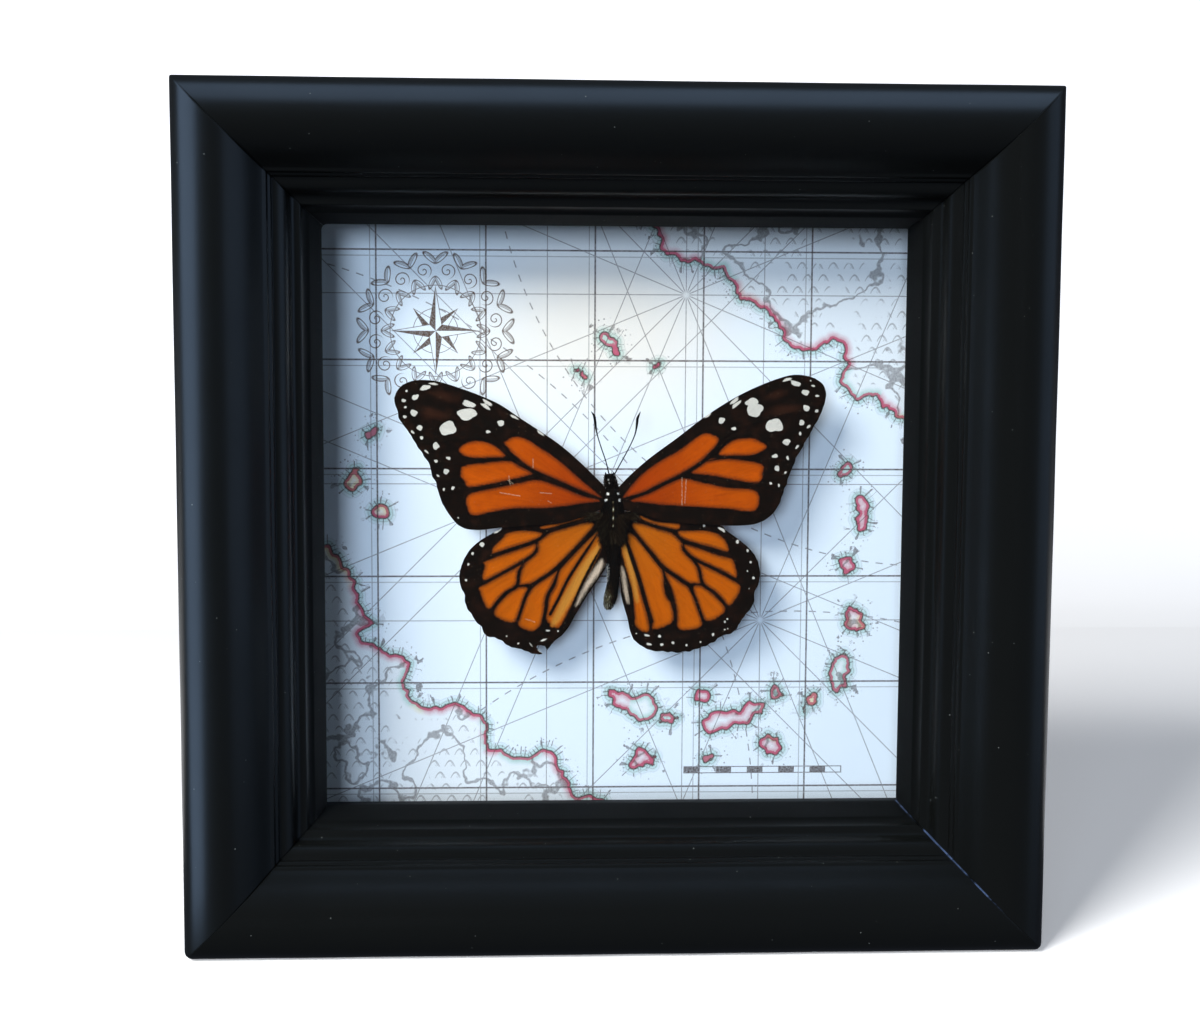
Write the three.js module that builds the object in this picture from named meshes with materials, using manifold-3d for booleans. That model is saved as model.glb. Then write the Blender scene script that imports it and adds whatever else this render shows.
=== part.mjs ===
// Framed butterfly specimen: a square shadow-box frame with a spread monarch floating over a printed chart.
// Millimetres, +Z up. The front faces -Y, and the origin is on the standing surface under the frame's middle.

import * as THREE from 'three';
import { mergeVertices } from 'three/addons/utils/BufferGeometryUtils.js';
import Module from 'manifold-3d';

const wasm = await Module();
wasm.setup();

// Frame: outside, sight opening and the rabbet behind the lip
const FRAME_SIDE = 174;
const SIGHT_SIDE = 120.6;
const RABBET_SIDE = 131.4;
const FRAME_DEPTH = 46;
const LIP_FRONT = 22;
const LIP_EDGE = 0.7;
const GAP = 0.3;
const MITRE_SETBACK = 0.2;
const CURVE_STEPS = 6;

// Layers in the rabbet, front to back
const GLASS_THICK = 2;
const LINER_DEPTH = 13.7;
const LINER_THICK = 1.4;
const SHEET_THICK = 0.3;
const BOARD_THICK = 3;

// Retainer tabs, two in each rail
const TAB_LENGTH = 16;
const TAB_WIDTH = 9;
const TAB_THICK = 0.5;
const TAB_BURIED = 5;
const TAB_SPACING = 62;
const SLOT_CLEARANCE = 0.3;

// Sawtooth hanger on the top rail's back, with its two nails
const HANGER_LENGTH = 45;
const HANGER_HEIGHT = 8;
const HANGER_THICK = 0.8;
const HANGER_BELOW_TOP = 10;
const TOOTH_COUNT = 9;
const TOOTH_PITCH = 3;
const TOOTH_HEIGHT = 1.6;
const NAIL_SPACING = 38;
const NAIL_SHANK_RADIUS = 0.6;
const NAIL_HEAD_RADIUS = 1.6;
const NAIL_HEAD_THICK = 0.5;
const NAIL_REACH = 8;
const NAIL_HOLE_RADIUS = NAIL_SHANK_RADIUS + GAP;
const ROUND_STEPS = 16;
const MERGE_DISTANCE = 1e-4;
const OVERCUT = 1;

// Specimen: where its middle is, and how its wings lie
const SPECIMEN_X = -0.3;
const SPECIMEN_BEHIND_GLASS = 4.8;
const SPECIMEN_Z = 88.2;
const WING_THICK = 0.3;
const WING_LIFT = THREE.MathUtils.degToRad(1.9);
const HINDWING_BEHIND = 0.8;

// Places that follow from the dimensions above, with y = 0 half way from the frame's front to the nail heads
const HANGER_PROUD = 2 * GAP + HANGER_THICK + NAIL_HEAD_THICK;
const FRONT_Y = -(FRAME_DEPTH + HANGER_PROUD) / 2;
const HALF_SIDE = FRAME_SIDE / 2;
const SIGHT_INSET = (FRAME_SIDE - SIGHT_SIDE) / 2;
const RABBET_INSET = (FRAME_SIDE - RABBET_SIDE) / 2;
const PANE_SIDE = RABBET_SIDE - 2 * GAP;
const LEDGE_Y = FRONT_Y + LIP_FRONT + LIP_EDGE;
const GLASS_Y = LEDGE_Y + GAP;
const LINER_Y = GLASS_Y + GLASS_THICK + GAP;
const SPECIMEN_Y = GLASS_Y + GLASS_THICK + SPECIMEN_BEHIND_GLASS;
const SHEET_Y = LINER_Y + LINER_DEPTH + GAP;
const BOARD_Y = SHEET_Y + SHEET_THICK + GAP;
const TAB_Y = BOARD_Y + BOARD_THICK + GAP;
const BACK_Y = FRONT_Y + FRAME_DEPTH;
const HANGER_Y = BACK_Y + GAP;
const NAIL_HEAD_Y = HANGER_Y + HANGER_THICK + GAP;

// Finishes
function finish(color, roughness, metalness = 0) {
  return new THREE.MeshStandardMaterial({ color, roughness, metalness });
}

const BLACK_PAINT = finish(0x0b0c0e, 0.38);
const CLEAR_GLASS = finish(0xf4f8f8, 0.03);
CLEAR_GLASS.transparent = true;
CLEAR_GLASS.opacity = 0.12;
const BLACK_CARD = finish(0x0d0d0f, 0.9);
const CHART_PAPER = finish(0xdfe4ec, 0.85);
const BROWN_BOARD = finish(0x6f5436, 0.8);
const GREY_STEEL = finish(0x8d8f92, 0.4, 1);
const BRASSED_STEEL = finish(0xb08d4a, 0.35, 1);
const CORK = finish(0xa57c50, 0.9);
const DARK_CHITIN = finish(0x17110d, 0.7);
const ORANGE_WING = finish(0xc85a12, 0.75);

// A closed geometry as a solid for joining and cutting
function toSolid(geometry) {
  const bare = geometry.clone();
  bare.deleteAttribute('normal');
  bare.deleteAttribute('uv');
  const merged = mergeVertices(bare, MERGE_DISTANCE);
  return new wasm.Manifold(new wasm.Mesh({
    numProp: 3,
    vertProperties: new Float32Array(merged.attributes.position.array),
    triVerts: new Uint32Array(merged.index.array),
  }));
}

function toGeometry(solid) {
  const mesh = solid.getMesh();
  const geometry = new THREE.BufferGeometry();
  geometry.setAttribute('position', new THREE.BufferAttribute(mesh.vertProperties, 3));
  geometry.setIndex(new THREE.BufferAttribute(mesh.triVerts, 1));
  geometry.computeVertexNormals();
  return geometry;
}

function cut(geometry, cutters) {
  const solid = cutters.reduce((left, cutter) => left.subtract(toSolid(cutter)), toSolid(geometry));
  return toGeometry(solid);
}

function named(name, geometry, material) {
  const mesh = new THREE.Mesh(geometry, material);
  mesh.name = name;
  return mesh;
}

// An outline in X and Z made a plate, its front at y = 0 and its back at y = thickness
function plate(shape, thickness) {
  const geometry = new THREE.ExtrudeGeometry(shape, {
    depth: thickness,
    bevelEnabled: false,
    curveSegments: CURVE_STEPS,
  });
  return geometry.rotateX(Math.PI / 2).translate(0, thickness, 0);
}

function squarePlate(side, thickness) {
  return new THREE.BoxGeometry(side, thickness, side).translate(0, thickness / 2, 0);
}

// The moulding's section: x is the way in from the outer side, y the depth behind the front
function mouldingSection() {
  const section = new THREE.Shape();
  section.moveTo(0, FRAME_DEPTH);
  section.lineTo(0, 5.5);
  section.bezierCurveTo(0, 2.2, 2.6, 0, 6.5, 0);
  section.bezierCurveTo(10.5, 0, 13.5, 2.6, 16, 6.2);
  section.lineTo(17.1, 7.6);
  section.quadraticCurveTo(18, 7.8, 17.8, 8.7);
  section.quadraticCurveTo(18.7, 8.9, 18.5, 9.8);
  section.bezierCurveTo(19.6, 9.9, 20.9, 10.6, 21.3, 11.9);
  section.quadraticCurveTo(21.5, 13.4, 22.4, 13.7);
  section.lineTo(23.6, 13.9);
  section.quadraticCurveTo(23.9, 15.6, 25, 15.9);
  section.lineTo(SIGHT_INSET, LIP_FRONT);
  section.lineTo(SIGHT_INSET, LIP_FRONT + LIP_EDGE);
  section.lineTo(RABBET_INSET, LIP_FRONT + LIP_EDGE);
  section.lineTo(RABBET_INSET, FRAME_DEPTH);
  return section;
}

// The bottom rail about the frame's middle: the section run along X, each end cut back at 45 degrees
function railGeometry() {
  const geometry = new THREE.ExtrudeGeometry(mouldingSection(), {
    depth: 1,
    bevelEnabled: false,
    curveSegments: CURVE_STEPS,
  });
  const places = geometry.attributes.position;
  for (let i = 0; i < places.count; i += 1) {
    const inset = places.getX(i);
    const end = 1 - 2 * places.getZ(i);
    const x = end * (HALF_SIDE - inset - MITRE_SETBACK);
    places.setXYZ(i, x, FRONT_Y + places.getY(i), inset - HALF_SIDE);
  }
  return geometry;
}

// A slot in the rabbet wall that takes the buried end of one retainer tab
function slotCutter(x) {
  const width = TAB_WIDTH + 2 * SLOT_CLEARANCE;
  const height = TAB_THICK + 2 * SLOT_CLEARANCE;
  const depth = TAB_BURIED + SLOT_CLEARANCE + OVERCUT;
  const top = RABBET_INSET - HALF_SIDE + OVERCUT;
  return new THREE.BoxGeometry(width, height, depth).translate(x, TAB_Y + TAB_THICK / 2, top - depth / 2);
}

// A nail hole bored into the rail's back, in the rail's own bottom-rail position
function nailHoleCutter(x) {
  const depth = NAIL_REACH + GAP + OVERCUT;
  const hole = new THREE.CylinderGeometry(NAIL_HOLE_RADIUS, NAIL_HOLE_RADIUS, depth, ROUND_STEPS);
  return hole.translate(x, BACK_Y + OVERCUT - depth / 2, HANGER_BELOW_TOP - HALF_SIDE);
}

const TAB_PLACES = [-TAB_SPACING / 2, TAB_SPACING / 2];
const NAIL_PLACES = [-NAIL_SPACING / 2, NAIL_SPACING / 2];

// One retainer tab in bottom-rail position: square where it is buried, rounded where it lies on the board
function tabGeometry() {
  const half = TAB_WIDTH / 2;
  const root = RABBET_INSET - HALF_SIDE - TAB_BURIED;
  const outline = new THREE.Shape();
  outline.moveTo(-half, root);
  outline.lineTo(half, root);
  outline.lineTo(half, root + TAB_LENGTH - half);
  outline.absarc(0, root + TAB_LENGTH - half, half, 0, Math.PI, false);
  return plate(outline, TAB_THICK);
}

// The hanger's plate: rounded ends, a row of teeth under its middle and two nail holes
function hangerGeometry() {
  const halfLength = HANGER_LENGTH / 2;
  const halfHeight = HANGER_HEIGHT / 2;
  const firstTooth = (-TOOTH_COUNT * TOOTH_PITCH) / 2;
  const outline = new THREE.Shape();
  outline.moveTo(-halfLength + halfHeight, -halfHeight);
  for (let tooth = 0; tooth < TOOTH_COUNT; tooth += 1) {
    const start = firstTooth + tooth * TOOTH_PITCH;
    outline.lineTo(start, -halfHeight);
    outline.lineTo(start + TOOTH_PITCH / 2, -halfHeight + TOOTH_HEIGHT);
  }
  outline.lineTo(-firstTooth, -halfHeight);
  outline.absarc(halfLength - halfHeight, 0, halfHeight, -Math.PI / 2, Math.PI / 2, false);
  outline.absarc(-halfLength + halfHeight, 0, halfHeight, Math.PI / 2, (3 * Math.PI) / 2, false);
  for (const x of NAIL_PLACES) {
    outline.holes.push(new THREE.Path().absarc(x, 0, NAIL_HOLE_RADIUS, 0, 2 * Math.PI, true));
  }
  return plate(outline, HANGER_THICK);
}

// One nail, its axis along Y: the flat head outside, the shank running forward into the rail
function nailGeometry() {
  const reach = HANGER_THICK + 2 * GAP + NAIL_REACH;
  const profile = [
    new THREE.Vector2(0, -reach),
    new THREE.Vector2(NAIL_SHANK_RADIUS, -reach + 2 * NAIL_SHANK_RADIUS),
    new THREE.Vector2(NAIL_SHANK_RADIUS, 0),
    new THREE.Vector2(NAIL_HEAD_RADIUS, 0),
    new THREE.Vector2(NAIL_HEAD_RADIUS, NAIL_HEAD_THICK),
    new THREE.Vector2(0, NAIL_HEAD_THICK),
  ];
  return new THREE.LatheGeometry(profile, ROUND_STEPS);
}

// Wing outlines in X and Z from the specimen's middle: leading edge out, outer edge down, inner edge back
const WINGS = {
  left_forewing: [
    [-2.9, 6.4], [-11.1, 13.8], [-23.8, 22.3], [-36.3, 27], [-42.2, 27.2], [-45.5, 24], [-44.3, 18.4],
    [-40.3, 12.2], [-37.3, 5.6], [-34.1, -1.6], [-30.8, -4], [-24, -3.8], [-11.2, -2.8], [-2.9, 0.2],
  ],
  right_forewing: [
    [2.9, 6.6], [10.1, 12.7], [22.7, 22], [35.4, 28.1], [40.7, 28.7], [45.2, 25.4], [43.9, 19.8],
    [39.4, 11.7], [36.7, 4.4], [34.3, -0.7], [30.2, -3], [18.6, -3], [8.5, -1.5], [2.9, -0.2],
  ],
  left_hindwing: [
    [-2.9, -0.6], [-12, -0.5], [-23.8, -4.1], [-27.9, -6.6], [-31.4, -10.5], [-32.4, -14.6],
    [-31.2, -19.6], [-27.5, -25.9], [-23.6, -28.2], [-18.1, -30.4], [-14, -29], [-9, -25.2],
    [-6.1, -20], [-2.9, -14.6], [-2.4, -11.5], [-2.9, -6.5],
  ],
  right_hindwing: [
    [2.9, -0.6], [12, -0.2], [24.6, -4.4], [28.5, -7.3], [31.6, -11.2], [31.6, -15.9], [29.9, -21.5],
    [26.3, -26.5], [21, -29.2], [14.2, -30.8], [8.5, -30.4], [4.8, -28], [3.5, -23.5], [2.6, -17],
    [2.5, -11], [2.9, -6.5],
  ],
};

function wingGeometry(points) {
  const [root, ...rest] = points.map(([x, z]) => new THREE.Vector2(x, z));
  const outline = new THREE.Shape();
  outline.moveTo(root.x, root.y);
  outline.splineThru(rest);
  return plate(outline, WING_THICK);
}

// Body, each piece about the specimen's middle
const THORAX = { centre: [0.15, 1, -0.65], radii: [2.35, 2.9, 5.65] };
const HEAD = { centre: [-0.2, 0.6, 6.7], radii: [1.75, 1.6, 1.4] };
const ABDOMEN_TOP = -6.6;
const ABDOMEN_TIP = -21.4;
const ABDOMEN_DEEP = 1.5;
const ABDOMEN_X = 0.35;
const ABDOMEN_BEND_FROM = -13;
const ABDOMEN_BEND = 0.013;
const ABDOMEN_PROFILE = [[0.9, 0], [1.35, 2], [1.4, 5], [1.3, 9], [1.25, 12], [0.8, 14.2]];

function ovalGeometry({ centre, radii }) {
  return new THREE.SphereGeometry(1, ROUND_STEPS, ROUND_STEPS / 2).scale(...radii).translate(...centre);
}

// The abdomen: a turned shape hanging down from the thorax, its tip bent to the left
function abdomenGeometry() {
  const profile = [
    new THREE.Vector2(0, ABDOMEN_TIP),
    ...ABDOMEN_PROFILE.map(([radius, below]) => new THREE.Vector2(radius, ABDOMEN_TOP - below)).reverse(),
    new THREE.Vector2(0, ABDOMEN_TOP),
  ];
  const geometry = new THREE.LatheGeometry(profile, ROUND_STEPS).rotateX(Math.PI / 2);
  const places = geometry.attributes.position;
  for (let i = 0; i < places.count; i += 1) {
    const past = Math.max(0, ABDOMEN_BEND_FROM - places.getZ(i));
    places.setX(i, places.getX(i) + ABDOMEN_X - ABDOMEN_BEND * past * past);
  }
  return geometry.translate(0, ABDOMEN_DEEP, 0);
}

// Antennae: a thin shaft that swells to a club, following a route of points from the head to the tip
const ANTENNA_PROFILE = [[0, 0], [0.14, 0], [0.12, 0.78], [0.26, 0.88], [0.28, 0.95], [0, 1]];
const ANTENNA_SIDES = 8;
const ANTENNA_FRONT = 0.1;
const ANTENNA_ROUTES = {
  left_antenna: [[-0.9, 8.6], [-2.5, 13.6], [-3.6, 18], [-4.5, 20.9]],
  right_antenna: [[0.6, 8.6], [3.7, 13.6], [5.1, 18], [5.9, 20.9]],
};

function antennaGeometry(points) {
  const route = new THREE.CatmullRomCurve3(points.map(([x, z]) => new THREE.Vector3(x, -ANTENNA_FRONT, z)));
  const profile = new THREE.SplineCurve(ANTENNA_PROFILE.slice(1, -1).map((p) => new THREE.Vector2(...p)));
  const outline = [new THREE.Vector2(0, 0), ...profile.getPoints(ROUND_STEPS), new THREE.Vector2(0, 1)];
  const geometry = new THREE.LatheGeometry(outline, ANTENNA_SIDES);
  const places = geometry.attributes.position;
  const forward = new THREE.Vector3(0, 1, 0);
  for (let i = 0; i < places.count; i += 1) {
    const along = THREE.MathUtils.clamp(places.getY(i), 0, 1);
    const side = new THREE.Vector3().crossVectors(route.getTangentAt(along), forward).negate();
    const place = route.getPointAt(along);
    place.addScaledVector(side, -places.getX(i));
    place.addScaledVector(forward, places.getZ(i));
    places.setXYZ(i, place.x, place.y, place.z);
  }
  return geometry;
}

// Small block that the thorax is fixed to, behind it against the chart
const BLOCK_WIDTH = 4.6;
const BLOCK_HEIGHT = 11;
const BLOCK_LOW = -8;
const BLOCK_FRONT = THORAX.centre[1] + THORAX.radii[1] + GAP;
const BLOCK_BACK = SHEET_Y - GAP - SPECIMEN_Y;

function blockGeometry() {
  const depth = BLOCK_BACK - BLOCK_FRONT;
  const block = new THREE.BoxGeometry(BLOCK_WIDTH, depth, BLOCK_HEIGHT);
  return block.translate(0, BLOCK_FRONT + depth / 2, BLOCK_LOW + BLOCK_HEIGHT / 2);
}

// Frame: four mitred rails turned about the frame's middle, each with its tabs
function buildFrame() {
  const frame = new THREE.Group();
  frame.position.z = HALF_SIDE;
  const slots = TAB_PLACES.map(slotCutter);
  const plainRail = cut(railGeometry(), slots);
  const topRail = cut(railGeometry(), [...slots, ...NAIL_PLACES.map(nailHoleCutter)]);
  const tab = tabGeometry();
  ['bottom_rail', 'right_rail', 'top_rail', 'left_rail'].forEach((name, turn) => {
    const side = new THREE.Group();
    side.rotation.y = (-turn * Math.PI) / 2;
    side.add(named(name, name === 'top_rail' ? topRail : plainRail, BLACK_PAINT));
    TAB_PLACES.forEach((x, place) => {
      const mesh = named(`retainer_tab_${TAB_PLACES.length * turn + place + 1}`, tab, GREY_STEEL);
      mesh.position.set(x, TAB_Y, 0);
      side.add(mesh);
    });
    frame.add(side);
  });
  return frame;
}

// Layers that fill the rabbet, all about the frame's middle
function buildLayers() {
  const layers = new THREE.Group();
  layers.position.z = HALF_SIDE;
  const stack = [
    ['glass_pane', squarePlate(PANE_SIDE, GLASS_THICK), CLEAR_GLASS, GLASS_Y],
    ['chart_sheet', squarePlate(PANE_SIDE, SHEET_THICK), CHART_PAPER, SHEET_Y],
    ['backing_board', squarePlate(PANE_SIDE, BOARD_THICK), BROWN_BOARD, BOARD_Y],
  ];
  for (const [name, geometry, material, y] of stack) {
    const mesh = named(name, geometry, material);
    mesh.position.y = y;
    layers.add(mesh);
  }
  const sideLength = PANE_SIDE - 2 * (LINER_THICK + GAP);
  const middle = (PANE_SIDE - LINER_THICK) / 2;
  const across = new THREE.BoxGeometry(PANE_SIDE, LINER_DEPTH, LINER_THICK);
  const upright = new THREE.BoxGeometry(LINER_THICK, LINER_DEPTH, sideLength);
  const liners = [
    ['liner_top', across, 0, middle],
    ['liner_bottom', across, 0, -middle],
    ['liner_left', upright, -middle, 0],
    ['liner_right', upright, middle, 0],
  ];
  for (const [name, geometry, x, z] of liners) {
    const mesh = named(name, geometry, BLACK_CARD);
    mesh.position.set(x, LINER_Y + LINER_DEPTH / 2, z);
    layers.add(mesh);
  }
  return layers;
}

function buildHanger() {
  const hanger = new THREE.Group();
  hanger.position.set(0, HANGER_Y, FRAME_SIDE - HANGER_BELOW_TOP);
  hanger.add(named('sawtooth_hanger', hangerGeometry(), BRASSED_STEEL));
  NAIL_PLACES.forEach((x, place) => {
    const nail = named(['hanger_nail_1', 'hanger_nail_2'][place], nailGeometry(), BRASSED_STEEL);
    nail.position.set(x, NAIL_HEAD_Y - HANGER_Y, 0);
    hanger.add(nail);
  });
  return hanger;
}

// Specimen: body, antennae and the four wings, with their outer ends lifted towards the glass
function buildSpecimen() {
  const specimen = new THREE.Group();
  specimen.position.set(SPECIMEN_X, SPECIMEN_Y, SPECIMEN_Z);
  specimen.add(named('thorax', ovalGeometry(THORAX), DARK_CHITIN));
  specimen.add(named('head', ovalGeometry(HEAD), DARK_CHITIN));
  specimen.add(named('abdomen', abdomenGeometry(), DARK_CHITIN));
  specimen.add(named('mounting_block', blockGeometry(), CORK));
  for (const [name, route] of Object.entries(ANTENNA_ROUTES)) {
    specimen.add(named(name, antennaGeometry(route), DARK_CHITIN));
  }
  for (const [name, points] of Object.entries(WINGS)) {
    const wing = named(name, wingGeometry(points), ORANGE_WING);
    wing.position.y = name.endsWith('hindwing') ? HINDWING_BEHIND : 0;
    wing.rotation.z = name.startsWith('left') ? WING_LIFT : -WING_LIFT;
    specimen.add(wing);
  }
  return specimen;
}

const framedButterfly = new THREE.Group();
framedButterfly.add(buildFrame(), buildLayers(), buildHanger(), buildSpecimen());

export default framedButterfly;
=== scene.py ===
"""A spread butterfly in a black shadow-box frame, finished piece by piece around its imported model."""

import math
from typing import NamedTuple

import bpy
import numpy as np
from bpy.props import FloatProperty, FloatVectorProperty, IntProperty, PointerProperty
from mathutils import Matrix, Vector


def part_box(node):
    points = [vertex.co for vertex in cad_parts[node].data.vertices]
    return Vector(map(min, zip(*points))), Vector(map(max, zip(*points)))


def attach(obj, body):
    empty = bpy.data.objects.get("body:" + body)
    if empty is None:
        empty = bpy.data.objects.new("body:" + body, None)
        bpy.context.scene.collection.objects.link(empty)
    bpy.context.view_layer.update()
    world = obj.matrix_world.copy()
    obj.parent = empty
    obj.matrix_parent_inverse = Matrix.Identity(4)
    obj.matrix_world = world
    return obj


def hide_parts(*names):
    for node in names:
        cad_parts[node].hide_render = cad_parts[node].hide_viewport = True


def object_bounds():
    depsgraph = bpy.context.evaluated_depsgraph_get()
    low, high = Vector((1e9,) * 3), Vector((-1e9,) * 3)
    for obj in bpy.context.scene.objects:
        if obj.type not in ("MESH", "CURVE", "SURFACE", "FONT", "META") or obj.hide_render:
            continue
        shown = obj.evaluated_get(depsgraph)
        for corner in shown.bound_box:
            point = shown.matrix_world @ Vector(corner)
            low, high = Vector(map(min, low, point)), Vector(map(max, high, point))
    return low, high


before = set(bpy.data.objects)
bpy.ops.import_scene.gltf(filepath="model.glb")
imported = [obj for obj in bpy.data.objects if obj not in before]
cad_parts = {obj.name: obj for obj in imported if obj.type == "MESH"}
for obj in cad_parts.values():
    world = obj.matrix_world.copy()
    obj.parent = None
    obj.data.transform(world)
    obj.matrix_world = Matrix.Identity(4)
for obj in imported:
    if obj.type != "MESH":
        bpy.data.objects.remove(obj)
CAD_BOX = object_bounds()

bl_info = {
    "name": "Framed butterfly",
    "version": (1, 0, 0),
    "blender": (4, 5, 0),
    "location": "3D View > Sidebar > Specimen",
    "description": "Rails, pane, chart and a spread butterfly around the packed frame",
    "category": "Object",
}

# Units and places, all in millimetres unless a name says otherwise
MM = 0.001
TURN = 2 * math.pi
TINY = 1e-9


def node_box(node):
    """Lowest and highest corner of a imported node, in millimetres."""
    low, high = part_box(node)
    return np.array(low) / MM, np.array(high) / MM


HALF_SIDE = CAD_BOX[1].x / MM
FRONT_Y = node_box("bottom_rail")[0][1]
THORAX_CENTRE = np.array((0.15, 1.0, -0.65))
MIDDLE = sum(node_box("thorax")) / 2 - THORAX_CENTRE


def screen(red, green, blue):
    """Linear colour of a screen colour given from 0 to 255."""
    part = np.array((red, green, blue)) / 255
    return tuple(np.where(part <= 0.04045, part / 12.92, ((part + 0.055) / 1.055) ** 2.4))


def colour(name, what, *rgb):
    """A colour property whose default is a screen colour."""
    return FloatVectorProperty(name=name, description=f"Colour of the {what}", subtype="COLOR", size=3,
                               default=screen(*rgb), min=0, max=1)


def length(name, description, millimetres):
    """A length property whose default is given in millimetres."""
    return FloatProperty(name=name, description=description, default=millimetres * MM, min=0,
                         unit="LENGTH", precision=5)


def factor(name, description, default):
    """A property from 0 to 1."""
    return FloatProperty(name=name, description=description, default=default, min=0, max=1, subtype="FACTOR")


def watts(name, what, default):
    """A light's power in watts."""
    return FloatProperty(name=name, description=f"Power of the {what}", default=default, min=0, unit="POWER")


def toned(tint, share):
    """A colour made darker or lighter by a share."""
    return [share * part for part in tint]


# Sizes and colours that a user would change


class PaintSettings(bpy.types.PropertyGroup):
    """The frame's black paint and its corners."""

    paint: colour("Paint", "satin paint", 10, 11, 10)
    dust: colour("Dust", "specks that lie on the paint", 150, 155, 150)
    # The glint colour is a painted highlight: a pale bluish line along the lower-right mitre, standing in for
    # light caught by the joint.
    glint: colour("Glint", "bare edge along one mitre", 92, 112, 150)
    roughness: factor("Roughness", "Roughness of the satin paint", 0.34)
    low_corner: length("Lower corners", "Radius of the two rubbed corners at the foot", 1.7)
    high_corner: length("Upper corners", "Radius of the two corners at the top", 0.5)
    sight_fillet: length("Sight fillet", "Radius of the paint that fills one corner of the opening", 1.2)


class ChartSettings(bpy.types.PropertyGroup):
    """The printed sheet behind the specimen."""

    paper: colour("Paper", "sheet", 230, 240, 248)
    # This cream colour is laid as a patch that is strongest above the sheet's middle and fades outwards.
    cream: colour("Toning", "aged part of the sheet", 238, 226, 208)
    ink: colour("Ink", "engraved lines", 72, 58, 54)
    sepia: colour("Ornament", "rose and its wreath", 84, 62, 46)
    red: colour("Red wash", "wash along most shores", 186, 84, 108)
    green: colour("Green wash", "wash along some shores", 128, 184, 168)
    yellow: colour("Yellow wash", "wash on some islands", 226, 196, 96)
    grid: length("Grid", "Distance between the ruled lines", 23.5)


class WingSettings(bpy.types.PropertyGroup):
    """The wings' scales and relief."""

    orange: colour("Orange", "bright cells", 192, 82, 6)
    russet: colour("Russet", "forewing cells near the body", 160, 56, 7)
    amber: colour("Amber", "hindwing cells", 190, 89, 7)
    honey: colour("Honey", "hindwing cells near the body", 182, 96, 16)
    ochre: colour("Ochre", "paler fold by the body", 196, 134, 52)
    pale: colour("Pale fold", "hairy edge by the body", 214, 192, 166)
    black: colour("Black", "veins and margins", 13, 11, 7)
    brown: colour("Brown", "worn patches in the wing tips", 58, 32, 20)
    spot: colour("Spots", "white spots", 212, 207, 194)
    rubbed: colour("Rubbed", "scuffs and grit", 206, 180, 150)
    shadow: colour("Shadow", "gaps between the scales", 40, 16, 6)
    thickness: length("Thickness", "Thickness of a wing", 0.12)
    ridge: length("Vein ridge", "Height of a vein above the wing", 0.1)
    billow: length("Billow", "Depth of the hollow between veins", 0.22)


class BodySettings(bpy.types.PropertyGroup):
    """The butterfly's body."""

    skin: colour("Skin", "bare body", 10, 9, 7)
    fuzz: colour("Fuzz", "dark hair", 32, 21, 10)
    grey: colour("Grey", "grey hair and worn flecks", 108, 104, 80)
    white: colour("White", "small white dots", 232, 232, 226)
    hair: length("Hair", "Usual length of the long hair", 2.2)
    strands: IntProperty(name="Strands", description="Number of hairs on the thorax", default=8000, min=10)


class BackSettings(bpy.types.PropertyGroup):
    """The parts at the back."""

    board: colour("Board", "backing board", 142, 108, 74)
    steel: colour("Steel", "tabs", 168, 170, 172)
    brass: colour("Brass", "hanger and its nails", 196, 158, 84)
    card: colour("Card", "dark spacer strips", 24, 24, 26)
    cork: colour("Cork", "mounting block", 176, 132, 86)


class StageSettings(bpy.types.PropertyGroup):
    """Floor, light and camera."""

    floor: colour("Floor", "floor and backdrop", 246, 246, 246)
    key: watts("Key", "main light", 50)
    fill: watts("Fill", "light behind the camera", 29)
    sky: watts("Sky", "light overhead", 0.6)
    wall: watts("Wall", "light at the right", 3.2)
    card: watts("Cards", "largest near card", 0.09)
    sky_tint: colour("Sky tint", "overhead light, the right light and the cards", 172, 204, 244)
    fill_tint: colour("Fill tint", "light behind the camera", 216, 232, 255)
    room: factor("Room", "Strength of the dim light from all round", 0.08)
    room_tint: colour("Room tint", "dim light from all round", 214, 228, 255)
    lens: FloatProperty(name="Lens", description="Focal length of the camera", default=51.67, unit="CAMERA")


class SpecimenSettings(bpy.types.PropertyGroup):
    """All the settings of the framed butterfly."""

    paint: PointerProperty(type=PaintSettings)
    chart: PointerProperty(type=ChartSettings)
    wings: PointerProperty(type=WingSettings)
    body: PointerProperty(type=BodySettings)
    back: PointerProperty(type=BackSettings)
    stage: PointerProperty(type=StageSettings)


# Shader maths


class Signal:
    """A shader value: Python's operators on it add Math nodes."""

    def __init__(self, finish, socket):
        self.finish = finish
        self.socket = socket

    def math(self, operation, *others):
        """A Math node fed by this value and others."""
        return self.finish.node("ShaderNodeMath", {"operation": operation}, (self, *others))

    def __add__(self, other):
        return self.math("ADD", other)

    def __sub__(self, other):
        return self.math("SUBTRACT", other)

    def __mul__(self, other):
        return self.math("MULTIPLY", other)

    def __truediv__(self, other):
        return self.math("DIVIDE", other)

    def __rsub__(self, other):
        return self.finish.node("ShaderNodeMath", {"operation": "SUBTRACT"}, (other, self))

    __radd__ = __add__
    __rmul__ = __mul__

    def __abs__(self):
        return self.math("ABSOLUTE")

    def at_least(self, other):
        """The greater of this value and another."""
        return self.math("MAXIMUM", other)

    def fold(self, half_period):
        """Distance to the nearest whole multiple of twice the half period."""
        return self.math("PINGPONG", half_period)

    def ramp(self, low, high):
        """Smooth step from 0 at low to 1 at high."""
        sockets = {"Value": self, "From Min": low, "From Max": high}
        return self.finish.node("ShaderNodeMapRange", {"interpolation_type": "SMOOTHSTEP"}, sockets)

    def stroke(self, half_width, soft=0.06):
        """1 within half a line's width of zero, with a soft edge."""
        return abs(self).ramp(half_width + soft, half_width - soft)


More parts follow.
